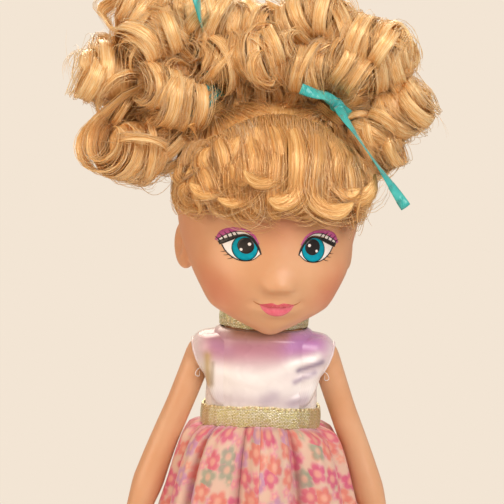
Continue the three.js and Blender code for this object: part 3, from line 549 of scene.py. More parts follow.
# one saran fibre: the pigtails' fibre and lock colours are lighter copies of the fringe's, painted light
# against the shade inside the curls
fibre = makeFibre("saran_fibre", [(0.08, "#D89A54"), (0.3, "#F8C37C"), (0.52, "#FFD898"), (0.8, "#FFF0CE")])
brushedFibre = makeFibre("brushed_saran_fibre", [
    (0.08, "#C98543"), (0.3, "#E8AC62"), (0.52, "#F9C682"), (0.8, "#FFE6BA")])
combedFibre = makeCombed("saran_fibre_lock", [(0.5, "#D29752"), (0.72, "#F6C27A"), (0.92, "#FFE6B2")])
brushedLock = makeCombed("brushed_saran_lock", [(0.5, "#C48544"), (0.72, "#E5AB62"), (0.92, "#F9D190")])
underHair = makeUnderHair()
# the lighter of each satin's two colours is its painted sheen
ribbonSatin = makeSatin("teal_satin_ribbon", "#1FA3A6", "#58CFC4", 0.35, 0.3)
dressSatin = makeSatin("white_bridal_satin", "#EFEAE9", "#FBF9F7", 0.4, 0.26, painted_light=True)
collarLame = makeLame("gold_lame_collar", 1.6)
bandLame = makeLame("gold_lame_band", 5.9)
organzaPrint = makeOrganza()
liningCloth = makeWeave("cream_taffeta_lining", "#EBD3BD", "#F6E6D4", 0.4, 0.3)
tapeCloth = makeWeave("hook_and_loop_tape", "#E9E4DA", "#F8F5EE", 0.7, 0.1)
elasticYarn = makeWeave("covered_elastic", "#B08348", "#CFA366", 0.5, 0.2)
inkWhite = makeInk("white_ink", "#F1EEE9", "#FAF8F4")
inkBlack = makeInk("black_ink", "#14100F", "#1E1917")
inkTeal = makeInk("teal_ink", "#008FA6", "#00A5BC", 0.6)
inkShadow = makeInk("magenta_ink", "#B5528A", "#CB68A2", 0.4)
inkLip = makeInk("pink_lip_ink", "#E2667A", "#EC7C8C", 0.16)
inkLipDeep = makeInk("deep_lip_ink", "#C9525C", "#D4616A", 0.25)
# a darker skin tone for painted shade in the dimples at the mouth corners
inkDimpleShade = makeInk("dimple_shade_ink", "#BC7A4E", "#C48659", 0.45)
print("materials")


# head: skull and face as two smoothly joined balls, with moulded bumps
def headReach(way):
    start = np.array(headForm["centre"], float)

    def toShell(middle, half):
        o = (start - np.array(middle)) / np.array(half)
        s = way / np.array(half)
        a, b, c = (s * s).sum(1), (s * o).sum(1), (o * o).sum() - 1
        return (-b + np.sqrt(b * b - a * c)) / a

    base = (toShell(*headForm["skull"]) ** 14 + toShell(*headForm["face"]) ** 14) ** (1 / 14)
    x, z = np.abs(way[:, 0] * base), way[:, 2] * base + start[2]
    far = base.copy()
    for amount, x0, wide, z0, tall in headForm["bumps"]:
        far += np.where(way[:, 1] < 0, amount * np.exp(-((x - x0) / wide) ** 2 - ((z - z0) / tall) ** 2), 0)
    return far


def headSpot(way, lift=0.0):  # head frame, mm
    way = unit(np.atleast_2d(way))
    spots = np.array(headForm["centre"]) + way * (headReach(way) + lift)[:, None]
    rise, taper, chinRise, chinTaper = headForm["jaw"]  # the cheeks run down to a narrow chin
    cheek = np.clip((rise - spots[:, 2]) / 10, 0, 1)
    chin = np.clip((chinRise - spots[:, 2]) / 6, 0, 1.3)
    spots[:, 0] *= 1 - taper * cheek * cheek * (3 - 2 * cheek) - chinTaper * chin ** 1.4
    return spots


headTurn = np.array(yaw.to_3x3())


def toWorld(points):  # head frame to the doll's frame, mm
    return np.asarray(points) @ headTurn.T + np.array([0, 0, headForm["floor"]])


bm = ball(7)
ways = np.array([v.co[:] for v in bm.verts])
for vert, spot in zip(bm.verts, headSpot(ways)):
    vert.co = spot * mm
skull = meshFrom(bm)

ears = []
for side in (-1, 1):
    rootWay = unit(np.array([[side, 0.25, (headForm["earRise"] - headForm["centre"][2]) / 25]]))
    edge = abs((np.array(headForm["centre"]) + rootWay * headReach(rootWay)[:, None])[0, 0])
    bm = ball(5)
    for vert in bm.verts:  # rim stands, bowl sinks
        bowl = (vert.co.y / 0.62) ** 2 + ((vert.co.z - 0.05) / 0.66) ** 2
        if vert.co.x * side > 0:
            vert.co.x -= side * 0.72 * math.exp(-bowl * 1.5)
    bmesh.ops.scale(bm, vec=Vector(headForm["earHalf"]) * mm, verts=bm.verts)
    turn = Matrix.Rotation(side * -0.35, 3, "Z") @ Matrix.Rotation(-0.2, 3, "X")
    bmesh.ops.rotate(bm, matrix=turn, verts=bm.verts)
    bmesh.ops.translate(bm, vec=Vector((side * (edge - 0.2), 2.5, headForm["earRise"])) * mm, verts=bm.verts)
    ears.append(meshFrom(bm))

headMesh = moulded([skull, *ears], headForm["voxel"], 3)
bm = bmesh.new()
holeRadius = headForm["neckHole"] * mm
bmesh.ops.create_cone(bm, cap_ends=True, segments=72, radius1=holeRadius, radius2=holeRadius,
                      depth=24 * mm, matrix=Matrix.Translation((0, 0, -12 * mm)))
neckHole = linked("bench_neck", meshFrom(bm))
headMesh = applied(headMesh, ("BOOLEAN", {
    "operation": "DIFFERENCE", "solver": "MANIFOLD", "object": neckHole}))
bpy.data.objects.remove(neckHole)
headTree = treeOf(headMesh)
headMesh.transform(headPlace)
placePiece("head", headMesh, vinyl, "head", "head_vinyl", "head_shell")
print("head")


# printed face: thin films of ink laid on the vinyl
def inkSheet(columns, rows, plan, lift, closed=False):
    def place(u, v):
        x, z = np.broadcast_arrays(*plan(u, v))
        found = []
        for a, b in zip(x, z):
            hit, normal, _, _ = headTree.ray_cast(Vector((a, -60, b)) * mm, Vector((0, 1, 0)))
            found.append((hit + normal * lift * mm) / mm)
        return np.array(found).T
    mesh = sheetMesh(columns, rows, place, closed=closed)
    lean = sum(p.normal.y * p.area for p in mesh.polygons)
    if lean > 0:  # printed side faces out
        mesh.flip_normals()
    return thickened(mesh, 0.05)


def bend(u, points):  # smooth line through (x, z) points at u from 0 to 1
    line = smoothLine([(x, z, 0) for x, z in points], 65)
    at = np.linspace(0, 1, 65)
    return np.interp(u, at, line[:, 0]), np.interp(u, at, line[:, 1])


def between(low, high):  # a patch between two lines
    def plan(u, v):
        a, b = bend(u, low), bend(u, high)
        return a[0] + (b[0] - a[0]) * v, a[1] + (b[1] - a[1]) * v
    return plan


def disc(x, z, wide, tall=None):
    def plan(u, v):
        return x + wide * v * np.cos(2 * np.pi * u), z + (tall or wide) * v * np.sin(2 * np.pi * u)
    return plan


def stroke(points, wide, tip=0.05):  # a pen line that thins to its tip
    def plan(u, v):
        x, z = bend(u, points)
        ahead = bend(np.clip(u + 0.02, 0, 1), points)
        behind = bend(np.clip(u - 0.02, 0, 1), points)
        dx, dz = ahead[0] - behind[0], ahead[1] - behind[1]
        run = np.hypot(dx, dz) + 1e-9
        half = (v - 0.5) * (wide + (tip - wide) * u)
        return x - dz / run * half, z + dx / run * half
    return plan


eye = {
    # eye sizes in mm from the iris middle, x to the outer corner, z up
    "place": (9.6, 18.9), "scale": 0.92,
    "upper": [(-4.6, -1.5), (-3.9, -0.2), (-2.9, 1.5), (-1.8, 2.8), (0.0, 3.6), (1.8, 3.2), (3.6, 2.3),
              (6.6, 0.6)],
    "lower": [(-4.6, -1.5), (-2.4, -3.3), (-0.1, -3.8), (1.9, -3.6), (3.9, -2.7), (5.6, -1.1), (6.6, 0.6)],
    "lidTop": [(-4.9, -1.6), (-4.4, 0.2), (-3.4, 2.0), (-2.2, 3.4), (-0.1, 4.25), (2.0, 3.95), (4.4, 3.1),
               (7.8, 1.6)],
    "lidLow": [(-4.6, -1.7), (-3.9, -0.3), (-2.9, 1.4), (-1.8, 2.7), (0.0, 3.5), (1.8, 3.1), (3.6, 2.2),
               (7.2, 0.5)],
    "band": [(-2.3, 3.5), (-0.1, 4.75), (2.4, 4.9), (5.0, 4.0), (7.7, 2.3)],
    "shadowLow": [(-3.9, 1.2), (-2.2, 3.3), (-0.1, 4.2), (2.0, 3.9), (4.4, 3.0), (7.8, 1.6)],
    "shadowTop": [(-4.2, 1.5), (-2.6, 4.2), (0.4, 5.8), (4.2, 6.0), (7.2, 4.7), (8.7, 1.9)],
    "iris": (0.0, 0.0, 3.62), "rim": 3.86, "pupil": (-0.3, 0.75, 2.45),
    "glints": [(-1.35, 1.25, 0.5), (1.05, -0.5, 0.42)],
    "lashes": [((7.0, 1.2), (8.6, 2.9)), ((5.9, 1.9), (7.5, 4.0)), ((4.6, 2.5), (6.1, 4.6)),
               ((3.3, 3.0), (4.8, 5.2)), ((2.1, 3.4), (3.4, 5.1))],
    "lowLashes": [((5.3, -1.2), (6.9, -1.5)), ((4.4, -2.1), (6.1, -2.5)), ((3.2, -2.9), (5.0, -3.6))],
}

whites, irises, blacks, magentas, glints = [], [], [], [], []
for side in (-1, 1):
    (cx, cz), size = eye["place"], eye["scale"]

    def onEye(points, side=side):
        return [(side * (cx + x * size), cz + z * size) for x, z in points]

    magentas.append(inkSheet(40, 5, between(onEye(eye["shadowLow"]), onEye(eye["shadowTop"])), 0.03))
    whites.append(inkSheet(40, 3, between(onEye(eye["shadowLow"][1:]), onEye(eye["band"])), 0.05))
    whites.append(inkSheet(48, 12, between(onEye(eye["lower"]), onEye(eye["upper"])), 0.03))
    ix, iz, ir = eye["iris"]

    def underLid(x, z, reach, side=side):  # a disc cut off by the upper lid
        def plan(u, v):
            px, pz = x + reach * v * np.cos(2 * np.pi * u), z + reach * v * np.sin(2 * np.pi * u)
            pz = np.minimum(pz, ramp(px, eye["upper"]) + 0.05)
            return side * (cx + px * size), cz + pz * size
        return plan

    blacks.append(inkSheet(48, 6, underLid(ix, iz, eye["rim"]), 0.05, True))
    irises.append(inkSheet(48, 6, underLid(ix, iz, ir), 0.08, True))
    blacks.append(inkSheet(40, 5, underLid(*eye["pupil"]), 0.11, True))
    for gx, gz, gr in eye["glints"]:
        glints.append(inkSheet(20, 3, disc(*onEye([(gx, gz)])[0], gr * size), 0.14, True))
    blacks.append(inkSheet(48, 3, between(onEye(eye["lidLow"]), onEye(eye["lidTop"])), 0.12))
    blacks.append(inkSheet(40, 1, stroke(onEye(eye["lower"]), 0.16, 0.3), 0.12))
    blacks.append(inkSheet(30, 1, stroke(onEye(eye["band"]), 0.12, 0.25), 0.09))
    for a, b in eye["lashes"]:
        middle = ((a[0] + b[0]) / 2 - 0.25, (a[1] + b[1]) / 2 + 0.05)
        blacks.append(inkSheet(8, 1, stroke(onEye([a, middle, b]), 0.5), 0.13))
    for a, b in eye["lowLashes"]:
        middle = ((a[0] + b[0]) / 2, (a[1] + b[1]) / 2 - 0.12)
        blacks.append(inkSheet(8, 1, stroke(onEye([a, middle, b]), 0.24), 0.13))

mouth = {
    "line": [(-4.9, 3.2), (-3.2, 2.75), (-1.5, 2.5), (0, 2.55), (1.5, 2.5), (3.2, 2.75), (4.9, 3.2)],
    "top": [(-4.9, 3.22), (-3.2, 3.55), (-1.5, 3.8), (0, 3.35), (1.5, 3.8), (3.2, 3.55), (4.9, 3.22)],
    "low": [(-4.9, 3.15), (-3.9, 1.55), (-2.3, 0.35), (0, -0.1), (2.3, 0.35), (3.9, 1.55), (4.9, 3.15)],
    "crease": [(4.9, 3.2), (5.8, 3.5), (6.7, 4.1)],
}
lower = inkSheet(40, 8, between(mouth["low"], mouth["line"]), 0.04)
upper = inkSheet(40, 5, between(mouth["line"], mouth["top"]), 0.04)
# painted shade in the sculpted dimples at the corners of the mouth
dimpleShades = []
for side in (-1, 1):
    smile = [(side * x, z) for x, z in mouth["crease"]]
    dimpleShades.append(inkSheet(12, 1, stroke(smile, 0.42, 0.12), 0.03))
gap = inkSheet(40, 1, stroke(mouth["line"], 0.22, 0.22), 0.07)

for name, meshes, ink in (("eye_whites", whites, inkWhite), ("eye_irises", irises, inkTeal),
                          ("eye_lines", blacks, inkBlack), ("eye_glints", glints, inkWhite),
                          ("eyeshadow", magentas, inkShadow), ("lower_lip", [lower], inkLip),
                          ("upper_lip", [upper, gap], inkLipDeep), ("smile_creases", dimpleShades, inkDimpleShade)):
    facePrint = joined(meshes)
    facePrint.transform(headPlace)
    placePiece(name, facePrint, ink, "head", "head_vinyl")
print("printed face")

# hair: two curled pigtails, the combed scalp and the fringe
hair = {
    "fibre": 0.087, "fine": 0.05, "parting": -0.47, "brow": 26.5, "hairline": (27.5, 3.0, -0.508),
    "tieWay": (0.44, -0.05, 0.85), "tieAxis": (0.6, -0.05, 0.8), "tieLift": 3.05,
    "rightHeart": (-15, 4, 8, 11, 9, 12), "leftHeart": (2, 4, 12, 19, 9, 11),
    # rolled curls from the tie: out, back, up, radius, lean of the roll's axis (None points it forward)
    "rightRolls": [
        (29, -2, 8, 10.5, 8), (16, -5, 19, 9.5, -45), (23, -4, -11, 11, None), (11, -9, 4, 9, 20),
        (22, 2, 27, 9, 20), (-3, -4, 13, 9.5, -5), (3, -3, 25, 9, 10), (14, 14, 20, 11, 0),
        (30, 11, 10, 11, 30), (22, 12, -5, 11, -20), (4, 14, 12, 10, 0), (-9, 3, 3, 8, 10),
        (13, -1, -8, 8, 60)],
    "leftRolls": [
        (-20, -10, 15, 9, None), (-28, -3, 23, 9, 0), (6, -5, 20, 10.5, -12), (-7, -4, 26, 9.5, 15),
        (18, 1, 2, 10, 40), (10, -3, -6, 8, 50), (1, -7, 13.5, 8.5, -30), (14, 2, -10, 8, 30),
        (-11, -8, 12, 8, 0), (14, 0, 13, 9.5, 25), (-24, 10, 14, 10, 0), (-8, 14, 18, 11, 20),
        (10, 15, 14, 11, 0), (19, 12, 4, 10, -30), (-25, 2, 4, 8, 0), (-15, 2, 6, 8, 0)],
    "locksPerRoll": 7, "perLock": 24, "unruly": 2, "perUnruly": 13, "loose": 20, "frizz": 180,
    "finePerLock": 4, "stalk": 130, "scalp": 2100, "edge": 430,
}


def tieOf(side):
    x, y, z = hair["tieWay"]
    at = headSpot([[side * x, y, z]], hair["tieLift"])[0] + [0, 0, headForm["floor"]]
    x, y, z = hair["tieAxis"]
    return at, unit([side * x, y, z])


def rollLine(start, lead, centre, axis, radius, turns, entry, leadSteps=5, rollSteps=15):
    toward = centre - start
    toward = unit(toward - axis * (toward @ axis))
    flank = np.cross(axis, toward)
    flank = flank * math.copysign(entry, flank[1])  # comes in from behind the roll, or from before it
    meets = centre + flank * radius
    reach = np.linalg.norm(meets - start)
    corners = [start, start + lead * reach * 0.4, meets - toward * reach * 0.45, meets]
    t = np.linspace(0, 1, leadSteps)[:, None]
    run = ((1 - t)**3 * corners[0] + 3 * (1 - t)**2 * t * corners[1] + 3 * (1 - t) * t**2 * corners[2]
           + t**3 * corners[3])
    swing = np.linspace(0, 2 * math.pi * turns, rollSteps + 1)[1:, None]
    share = swing / swing[-1]
    ring = centre + radius * (1 - 0.5 * share**3) * (flank * np.cos(swing) + toward * np.sin(swing))
    line = np.concatenate([run, ring])
    tangent = unit(np.gradient(line, axis=0))
    across = unit(axis - tangent * (tangent @ axis)[:, None])
    return line, across, np.cross(tangent, across)


def lockPaths(line, across, depth, count, rng, wide, thick, wave, loose, lastShare=0.85):
    s = np.linspace(0, 1, len(line))
    swell = np.interp(s, [0, 0.3, 0.8, 1], [0.4, 1, 1.05, 1.25])
    paths = []
    for _ in range(count):
        a, b = rng.uniform(-1, 1, 2)
        phase = rng.uniform(0, fullTurn, 2)
        stray = rng.normal(0, loose, 2)
        sideways = (a * wide * swell + (wave * np.sin(9 * s + phase[0]) + stray[0] * s) * s)[:, None]
        outward = (b * thick * swell + (wave * np.sin(7 * s + phase[1]) + stray[1] * s) * s)[:, None]
        last = max(4, int(len(line) * rng.uniform(lastShare, 1.0)))
        paths.append((line + across * sideways + depth * outward)[:last + 1])
    return paths


def lockRibbon(line, across, depth, wide):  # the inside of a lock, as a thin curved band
    count = len(line) - 1
    s = np.linspace(0, 1, count + 1)
    half = wide * np.interp(s, [0, 0.3, 0.85, 1], [0.35, 0.8, 0.75, 0.06])

    def place(u, v):
        i = np.rint(u * count).astype(int)
        side = 2 * v - 1
        return (line[i] + across[i] * (half[i] * side)[:, None] + depth[i] * (0.35 * side**2)[:, None]).T
    length = np.linalg.norm(np.diff(line, axis=0), axis=1).sum()
    return sheetMesh(count, 4, place, (length, 2 * wide), thickness=0.3)


def placeStrands(name, paths, thickness, material, nodeName):
    placePiece(name, tubes(paths, [thickness] * len(paths)), material, "head", "hair", nodeName)


def hairline(spot):  # height of the hairline at a spot's depth
    level, atY, slope = hair["hairline"]
    return level + slope * (spot[1] - atY)


def underShell(name, liftOf, isBare, thickness, evenEdge=False):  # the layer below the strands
    bm = ball(6)
    ways = np.array([v.co[:] for v in bm.verts])
    gone = []
    for vert, way, spot, place in zip(bm.verts, ways, headSpot(ways), headSpot(ways, liftOf(ways))):
        vert.co = place * mm
        if isBare(way, spot):
            gone.append(vert)
    bmesh.ops.delete(bm, geom=gone, context="VERTS")
    if evenEdge:
        bmesh.ops.smooth_vert(bm, verts=[v for v in bm.verts if v.is_boundary], factor=0.5, use_axis_x=True,
                              use_axis_y=True, use_axis_z=True)
    shell = thickened(meshFrom(bm), thickness)
    shell.transform(headPlace)
    placePiece(name, shell, underHair, "head", "hair")


for side, key in ((-1, "right"), (1, "left")):
    rolls, heart, nodeName = hair[key + "Rolls"], hair[key + "Heart"], key + "_pigtail"
    rng = np.random.default_rng(21 + side)
    at, axis = tieOf(side)
    heartAt = at + np.array(heart[:3])
    ribbons, strands, fine, locks, cores = [], [], [], [], []
    for out, back, up, radius, lean in rolls:
        middle = at + np.array([side * out, back, up])
        front = -1 if back < 8 else 1
        rollAxis = np.array([0.75 * side, 0.65 * front, 0.2])
        if lean is not None:
            slant = math.radians(lean)
            rollAxis = np.array([side * math.cos(slant), 0.25 * front, math.sin(slant)])
        cores.append(ballMesh(middle, [0.62 * radius] * 3, detail=3))
        for k in range(hair["locksPerRoll"]):  # side by side along the roll
            shift = -0.9 + 1.8 * k / (hair["locksPerRoll"] - 1) + rng.normal(0, 0.07)
            girth = radius * math.sqrt(max(0.2, 1 - 0.88 * shift * shift)) * rng.uniform(0.86, 1.08)
            locks.append((middle + unit(rollAxis) * shift * radius + rng.normal(0, 0.09 * radius, 3),
                          rollAxis + rng.normal(0, 0.22, 3), girth, -front, 0.33 * radius, hair["perLock"]))
        for _ in range(hair["unruly"]):  # locks that have slipped out of the roll
            locks.append((middle + rng.normal(0, 0.3 * radius, 3), rollAxis + rng.normal(0, 0.7, 3),
                          radius * rng.uniform(0.55, 0.95), rng.choice([-1, 1]), rng.uniform(1.0, 1.8),
                          hair["perUnruly"]))
    for _ in range(hair["loose"]):
        way = unit(rng.normal(0, 1, 3) + [0, -0.25, 0.35])
        locks.append((heartAt + way * np.array(heart[3:]) * rng.uniform(0.8, 1.25),
                      way + rng.normal(0, 0.6, 3), rng.uniform(4.5, 7.5), rng.choice([-1, 1]),
                      rng.uniform(1.4, 2.4), hair["perUnruly"]))
    for centre, rollAxis, radius, entry, wide, count in locks:
        spread = rng.normal(0, 1.4, 3)
        start = at + axis * 4 + spread - axis * (spread @ axis)
        line, across, depth = rollLine(start, axis, centre, unit(rollAxis), radius, rng.uniform(0.55, 1.0),
                                       entry)
        s = np.linspace(0, 1, len(line))
        for way, least, most, beat in ((across, 0.5, 1.7, 8), (depth, 0.3, 0.9, 10)):
            wander = rng.uniform(least, most) * np.sin(beat * s + rng.uniform(0, fullTurn))
            line = line + way * (wander * np.sin(np.pi * s))[:, None]
        thick = rng.uniform(0.35, 0.6)
        ribbons.append(lockRibbon(line, across, depth, wide * 0.8))
        strands += lockPaths(line, across, depth, count, rng, wide * 1.35, thick * 1.7, 0.65, 1.4, 0.72)
        fine += lockPaths(line, across, depth, hair["finePerLock"], rng, wide * 1.6, thick * 3.5, 1.2, 3.0)
    for _ in range(hair["frizz"]):  # fine loops that stand off the curls
        out, back, up, radius, _ = rolls[rng.integers(len(rolls))]
        middle = at + np.array([side * out, back, up]) + rng.normal(0, 2.5, 3)
        spin = unit(rng.normal(0, 1, 3))
        u = unit(np.cross(spin, [0.3, 0.2, 1]))
        w = np.cross(spin, u)
        swing = np.linspace(0, rng.uniform(1.2, 3.6), 16)[:, None]
        loop = radius * rng.uniform(0.7, 1.12) * (1 + 0.12 * np.sin(3 * swing))
        fine.append(middle + loop * (u * np.cos(swing) + w * np.sin(swing)))
    # the gathered stalk through the tie
    for _ in range(hair["stalk"]):
        around, share = rng.uniform(0, fullTurn), math.sqrt(rng.uniform(0.3, 1))
        u = unit(np.cross(axis, [0, 1, 0]))
        w = np.cross(axis, u)
        spoke = u * math.cos(around) + w * math.sin(around)
        steps = np.linspace(-3.5, 10, 8)[:, None]
        flare = np.interp(steps, [-3.5, 0, 3, 10], [6.5, 4.6, 4.4, 8.5])
        strands.append(at + axis * steps + spoke * flare * share)
    bm = ball(4)
    for vert in bm.verts:  # shaggy heart under the rolls
        shag = 1 + 0.08 * math.sin(vert.co.x * 9 + vert.co.z * 7) * math.sin(vert.co.y * 8 + vert.co.z * 5)
        vert.co = Vector(heartAt) * mm + Vector([vert.co[i] * heart[3 + i] * shag for i in range(3)]) * mm
    stalk = tubes([[at - axis * 2.5, at, at + axis * 4, at + axis * 9]], [np.array([5.6, 4.2, 4.2, 6.5])], 14)
    placePiece(nodeName + "_heart", joined([meshFrom(bm), stalk, *cores]), underHair, "head", "hair")
    placePiece(nodeName + "_locks", joined(ribbons), combedFibre, "head", "hair")
    third = len(strands) // 3 + 1
    for part in range(3):
        some = strands[part * third:(part + 1) * third]
        placeStrands(f"{nodeName}_curls_{part + 1}", some, hair["fibre"], fibre, nodeName)
    placeStrands(nodeName + "_flyaway", fine, hair["fine"], fibre, nodeName)
print("pigtails")

# scalp: strands combed up from the hairline to the two ties
tieWays = {}
for side in (-1, 1):
    at, axis = tieOf(side)
    local = (at - [0, 0, headForm["floor"]]) @ headTurn
    tieWays[side] = unit(local - np.array(headForm["centre"]))


def combed(startWay, endWay, steps=11):  # an arc on the scalp, its outward ways and the share along it
    angle = math.acos(float(np.clip(startWay @ endWay, -1, 1)))
    t = np.linspace(0, 1, steps)[:, None]
    ways = (np.sin((1 - t) * angle) * startWay + np.sin(t * angle) * endWay) / math.sin(angle)
    return headSpot(ways), unit(ways), t[:, 0]


def offScalp(way, spot):
    return spot[2] < hairline(spot) + 0.6 or (way[1] < hair["parting"] and spot[2] < hair["brow"] + 6)


rng = np.random.default_rng(5)
scalpPaths = []
while len(scalpPaths) < hair["scalp"]:
    way = unit(rng.normal(0, 1, 3))
    if way[2] < -0.45:
        continue
    spot = headSpot([way])[0]
    if way[1] < hair["parting"] - 0.03 or spot[2] < hairline(spot) - 0.5:
        continue
    side = 1 if spot[0] + rng.normal(0, 0.5) > 0 else -1
    base, ways, t = combed(way, tieWays[side])
    if np.linalg.norm(base[0] - base[-1]) < 5:
        continue
    lift = rng.uniform(0.9, 2.4) + 0.35 * np.sin(5 * t + rng.uniform(0, fullTurn)) + 0.9 * t
    lift[0] = 0.2
    scalpPaths.append(toWorld(base + ways * lift[:, None]))
# edge strands that start right on the hairline
for azimuth in np.linspace(-2.05, 2.05, hair["edge"]):
    yWay, xWay = math.cos(azimuth), math.sin(azimuth)
    low, high = -0.6, 0.95
    for _ in range(18):
        guess = (low + high) / 2
        spot = headSpot([[xWay, yWay, guess]])[0]
        if spot[2] < hairline(spot):
            low = guess
        else:
            high = guess
    way = unit([xWay, yWay, low + rng.uniform(-0.03, 0.02)])
    side = 1 if xWay + rng.normal(0, 0.02) > 0 else -1
    base, ways, t = combed(way, tieWays[side], 13)
    lift = rng.uniform(0.7, 1.7) + 0.25 * np.sin(6 * t + rng.uniform(0, fullTurn)) + 1.2 * t
    lift[0] = 0.1
    scalpPaths.append(toWorld(base + ways * lift[:, None]))
underShell("scalp_under", lambda ways: 0.95, offScalp, 0.7, evenEdge=True)
placeStrands("scalp_strands", scalpPaths, hair["fibre"], brushedFibre, "scalp_hair")
print("scalp hair")

# fringe: brushed forward from the parting, each lock ending in a curl
fringe = {
    "locks": 46, "perLock": 34, "fine": 6, "bulge": (3.8, 5.8), "wisps": 420, "band": 2000,
    # lift by degrees above the level of the head's centre
    "puff": [(4, 1.6), (16, 3.2), (36, 5.4), (50, 5.6), (58, 4.0), (66, 1.6)],
}


def fringeLift(ways):
    puff = ramp(np.degrees(np.arcsin(ways[:, 2])), fringe["puff"])
    puff = puff * np.clip((hair["parting"] + 0.05 - ways[:, 1]) / 0.2, 0, 1) ** 0.6  # runs out at the parting
    return 0.6 + puff * (1 - 0.45 * np.maximum(ways[:, 0], -0.2 * ways[:, 0]))


def offFringe(way, spot):
    return way[1] > hair["parting"] + 0.05 or spot[2] < hair["brow"] + 3.5


rng = np.random.default_rng(9)
fringePaths, fringeRibbons = [], []
for index in range(fringe["locks"]):
    place = -1 + 2 * (index + rng.uniform(0.2, 0.8)) / fringe["locks"]
    turn = place * math.radians(70)
    rootWay = unit([math.sin(turn) * 0.95, -0.53, math.cos(turn)])
    face = place * math.radians(70) + rng.normal(0, 0.08)
    under = index % 3 != 0  # most locks roll under, the rest swing aside in a C
    rise = rng.uniform(0.24, 0.36) if under else rng.uniform(0.4, 0.7)
    rise -= 0.1 * place * place
    base, ways, t = combed(rootWay, unit([math.sin(face), -math.cos(face), rise]), 8)
    bulge = (rng.uniform(*fringe["bulge"]) + (0 if under else 1.2)) * (1 - 0.4 * max(place, -0.2 * place))
    lift = 1.0 + bulge * np.sin(np.pi * (0.06 + 0.66 * t))
    sway = rng.uniform(-1.6, 1.6) * np.sin(np.pi * t * 1.7)
    run = base + ways * lift[:, None]
    run = run + np.cross(ways, unit(np.gradient(run, axis=0))) * sway[:, None]
    tangent = unit(run[-1] - run[-2])
    normal = unit(ways[-1] - tangent * (ways[-1] @ tangent))
    flank = np.cross(tangent, normal)
    inward = 1 if flank[0] * place < 0 else -1
    hand = inward if abs(place) > 0.5 else rng.choice([-1, 1])
    if under:
        toward = unit(-normal + flank * rng.uniform(-0.7, 0.7))
        radius, share = rng.uniform(3.0, 4.4), rng.uniform(0.24, 0.36)
    else:
        toward = unit(flank * hand + normal * rng.uniform(-0.1, 0.4))
        radius, share = rng.uniform(4.8, 7.4), rng.uniform(0.3, 0.55)
    swing = np.linspace(0, 2 * math.pi * share, 11)[1:, None]
    curl = (run[-1] + toward * radius + radius * (1 - 0.35 * swing / fullTurn) * (
        tangent * np.sin(swing) - toward * np.cos(swing)) + normal * 0.25 * swing)
    line = np.concatenate([run, curl])
    tangents = unit(np.gradient(line, axis=0))
    outs = np.concatenate([ways, np.repeat(ways[-1:], len(curl), 0)])
    across = unit(np.cross(tangents, outs + 1e-6))
    depth = np.cross(tangents, across)
    wide, thick = rng.uniform(2.4, 3.8), rng.uniform(0.35, 0.7)
    fringeRibbons.append(lockRibbon(toWorld(line), across @ headTurn.T, depth @ headTurn.T, wide * 0.92))
    for count, broad, deep, wave, loose, least in ((fringe["perLock"], 1.2, 1.6, 0.6, 1.5, 0.7),
                                                   (fringe["fine"], 1.4, 2.2, 0.9, 2.4, 0.85)):
        paths = lockPaths(line, across, depth, count, rng, wide * broad, thick * deep, wave, loose, least)
        fringePaths += [toWorld(path) for path in paths]
for _ in range(fringe["band"]):  # smooth roll brushed forward over the roots of the curls
    place = rng.uniform(-1, 1)
    turn = place * math.radians(72)
    face = place * math.radians(74) + rng.normal(0, 0.03)
    base, ways, t = combed(unit([math.sin(turn) * 0.95, -0.5, math.cos(turn)]),
                           unit([math.sin(face), -math.cos(face), rng.uniform(0.72, 0.98)]), 9)
    lift = rng.uniform(1.6, 2.1) + (4.2 - 1.8 * max(place, -0.2 * place)) * np.sin(np.pi * (0.05 + 0.78 * t))
    lift = lift + 0.3 * np.sin(6 * t + rng.uniform(0, fullTurn))
    fringePaths.append(toWorld(base + ways * lift[:, None]))
for _ in range(fringe["wisps"]):  # fine ends that lie on the forehead
    face = rng.uniform(-1.1, 1.1)
    startWay = unit([math.sin(face), -math.cos(face), 0.62])
    endWay = unit([math.sin(face + rng.uniform(-0.3, 0.3)), -math.cos(face), rng.uniform(0.22, 0.42)])
    base, ways, t = combed(startWay, endWay, 9)
    lift = 1.2 + 2.2 * np.sin(np.pi * (0.3 + 0.5 * t)) + rng.uniform(0, 0.8)
    sway = rng.uniform(-1.5, 1.5) * t * t
    fringePaths.append(toWorld(base + ways * lift[:, None] + np.array([1, 0, 0]) * sway[:, None]))

underShell("fringe_under", fringeLift, offFringe, 0.9)
placePiece("fringe_locks", joined(fringeRibbons), brushedLock, "head", "hair")
half = len(fringePaths) // 2
for part, some in enumerate((fringePaths[:half], fringePaths[half:])):
    placeStrands(f"fringe_strands_{part + 1}", some, hair["fibre"], brushedFibre, "fringe")
print("fringe")

# elastics and ribbons, tied round the pigtails
ribbon = {
    "width": 2.9, "thickness": 0.22, "lift": 1.8, "wrap": 6.2,
    "right": [[(0, -0.4, 0), (0.5, 2, 7), (-1, 4, 16), (-3, -7, 25), (-4.5, -14, 34)],
              [(0, -0.4, 0), (-2, -1, -1), (-4, 0, -3), (-6, 2, -5)]],
    "left": [[(0, -0.4, 0), (1, -5, -2.5), (7, -9.5, -11), (13.5, -9, -19.5), (20, -7.5, -28)],
             [(0, -0.4, 0), (-3, -5, 2), (-8, -10, 3), (-11, -10.5, 4)]],
}


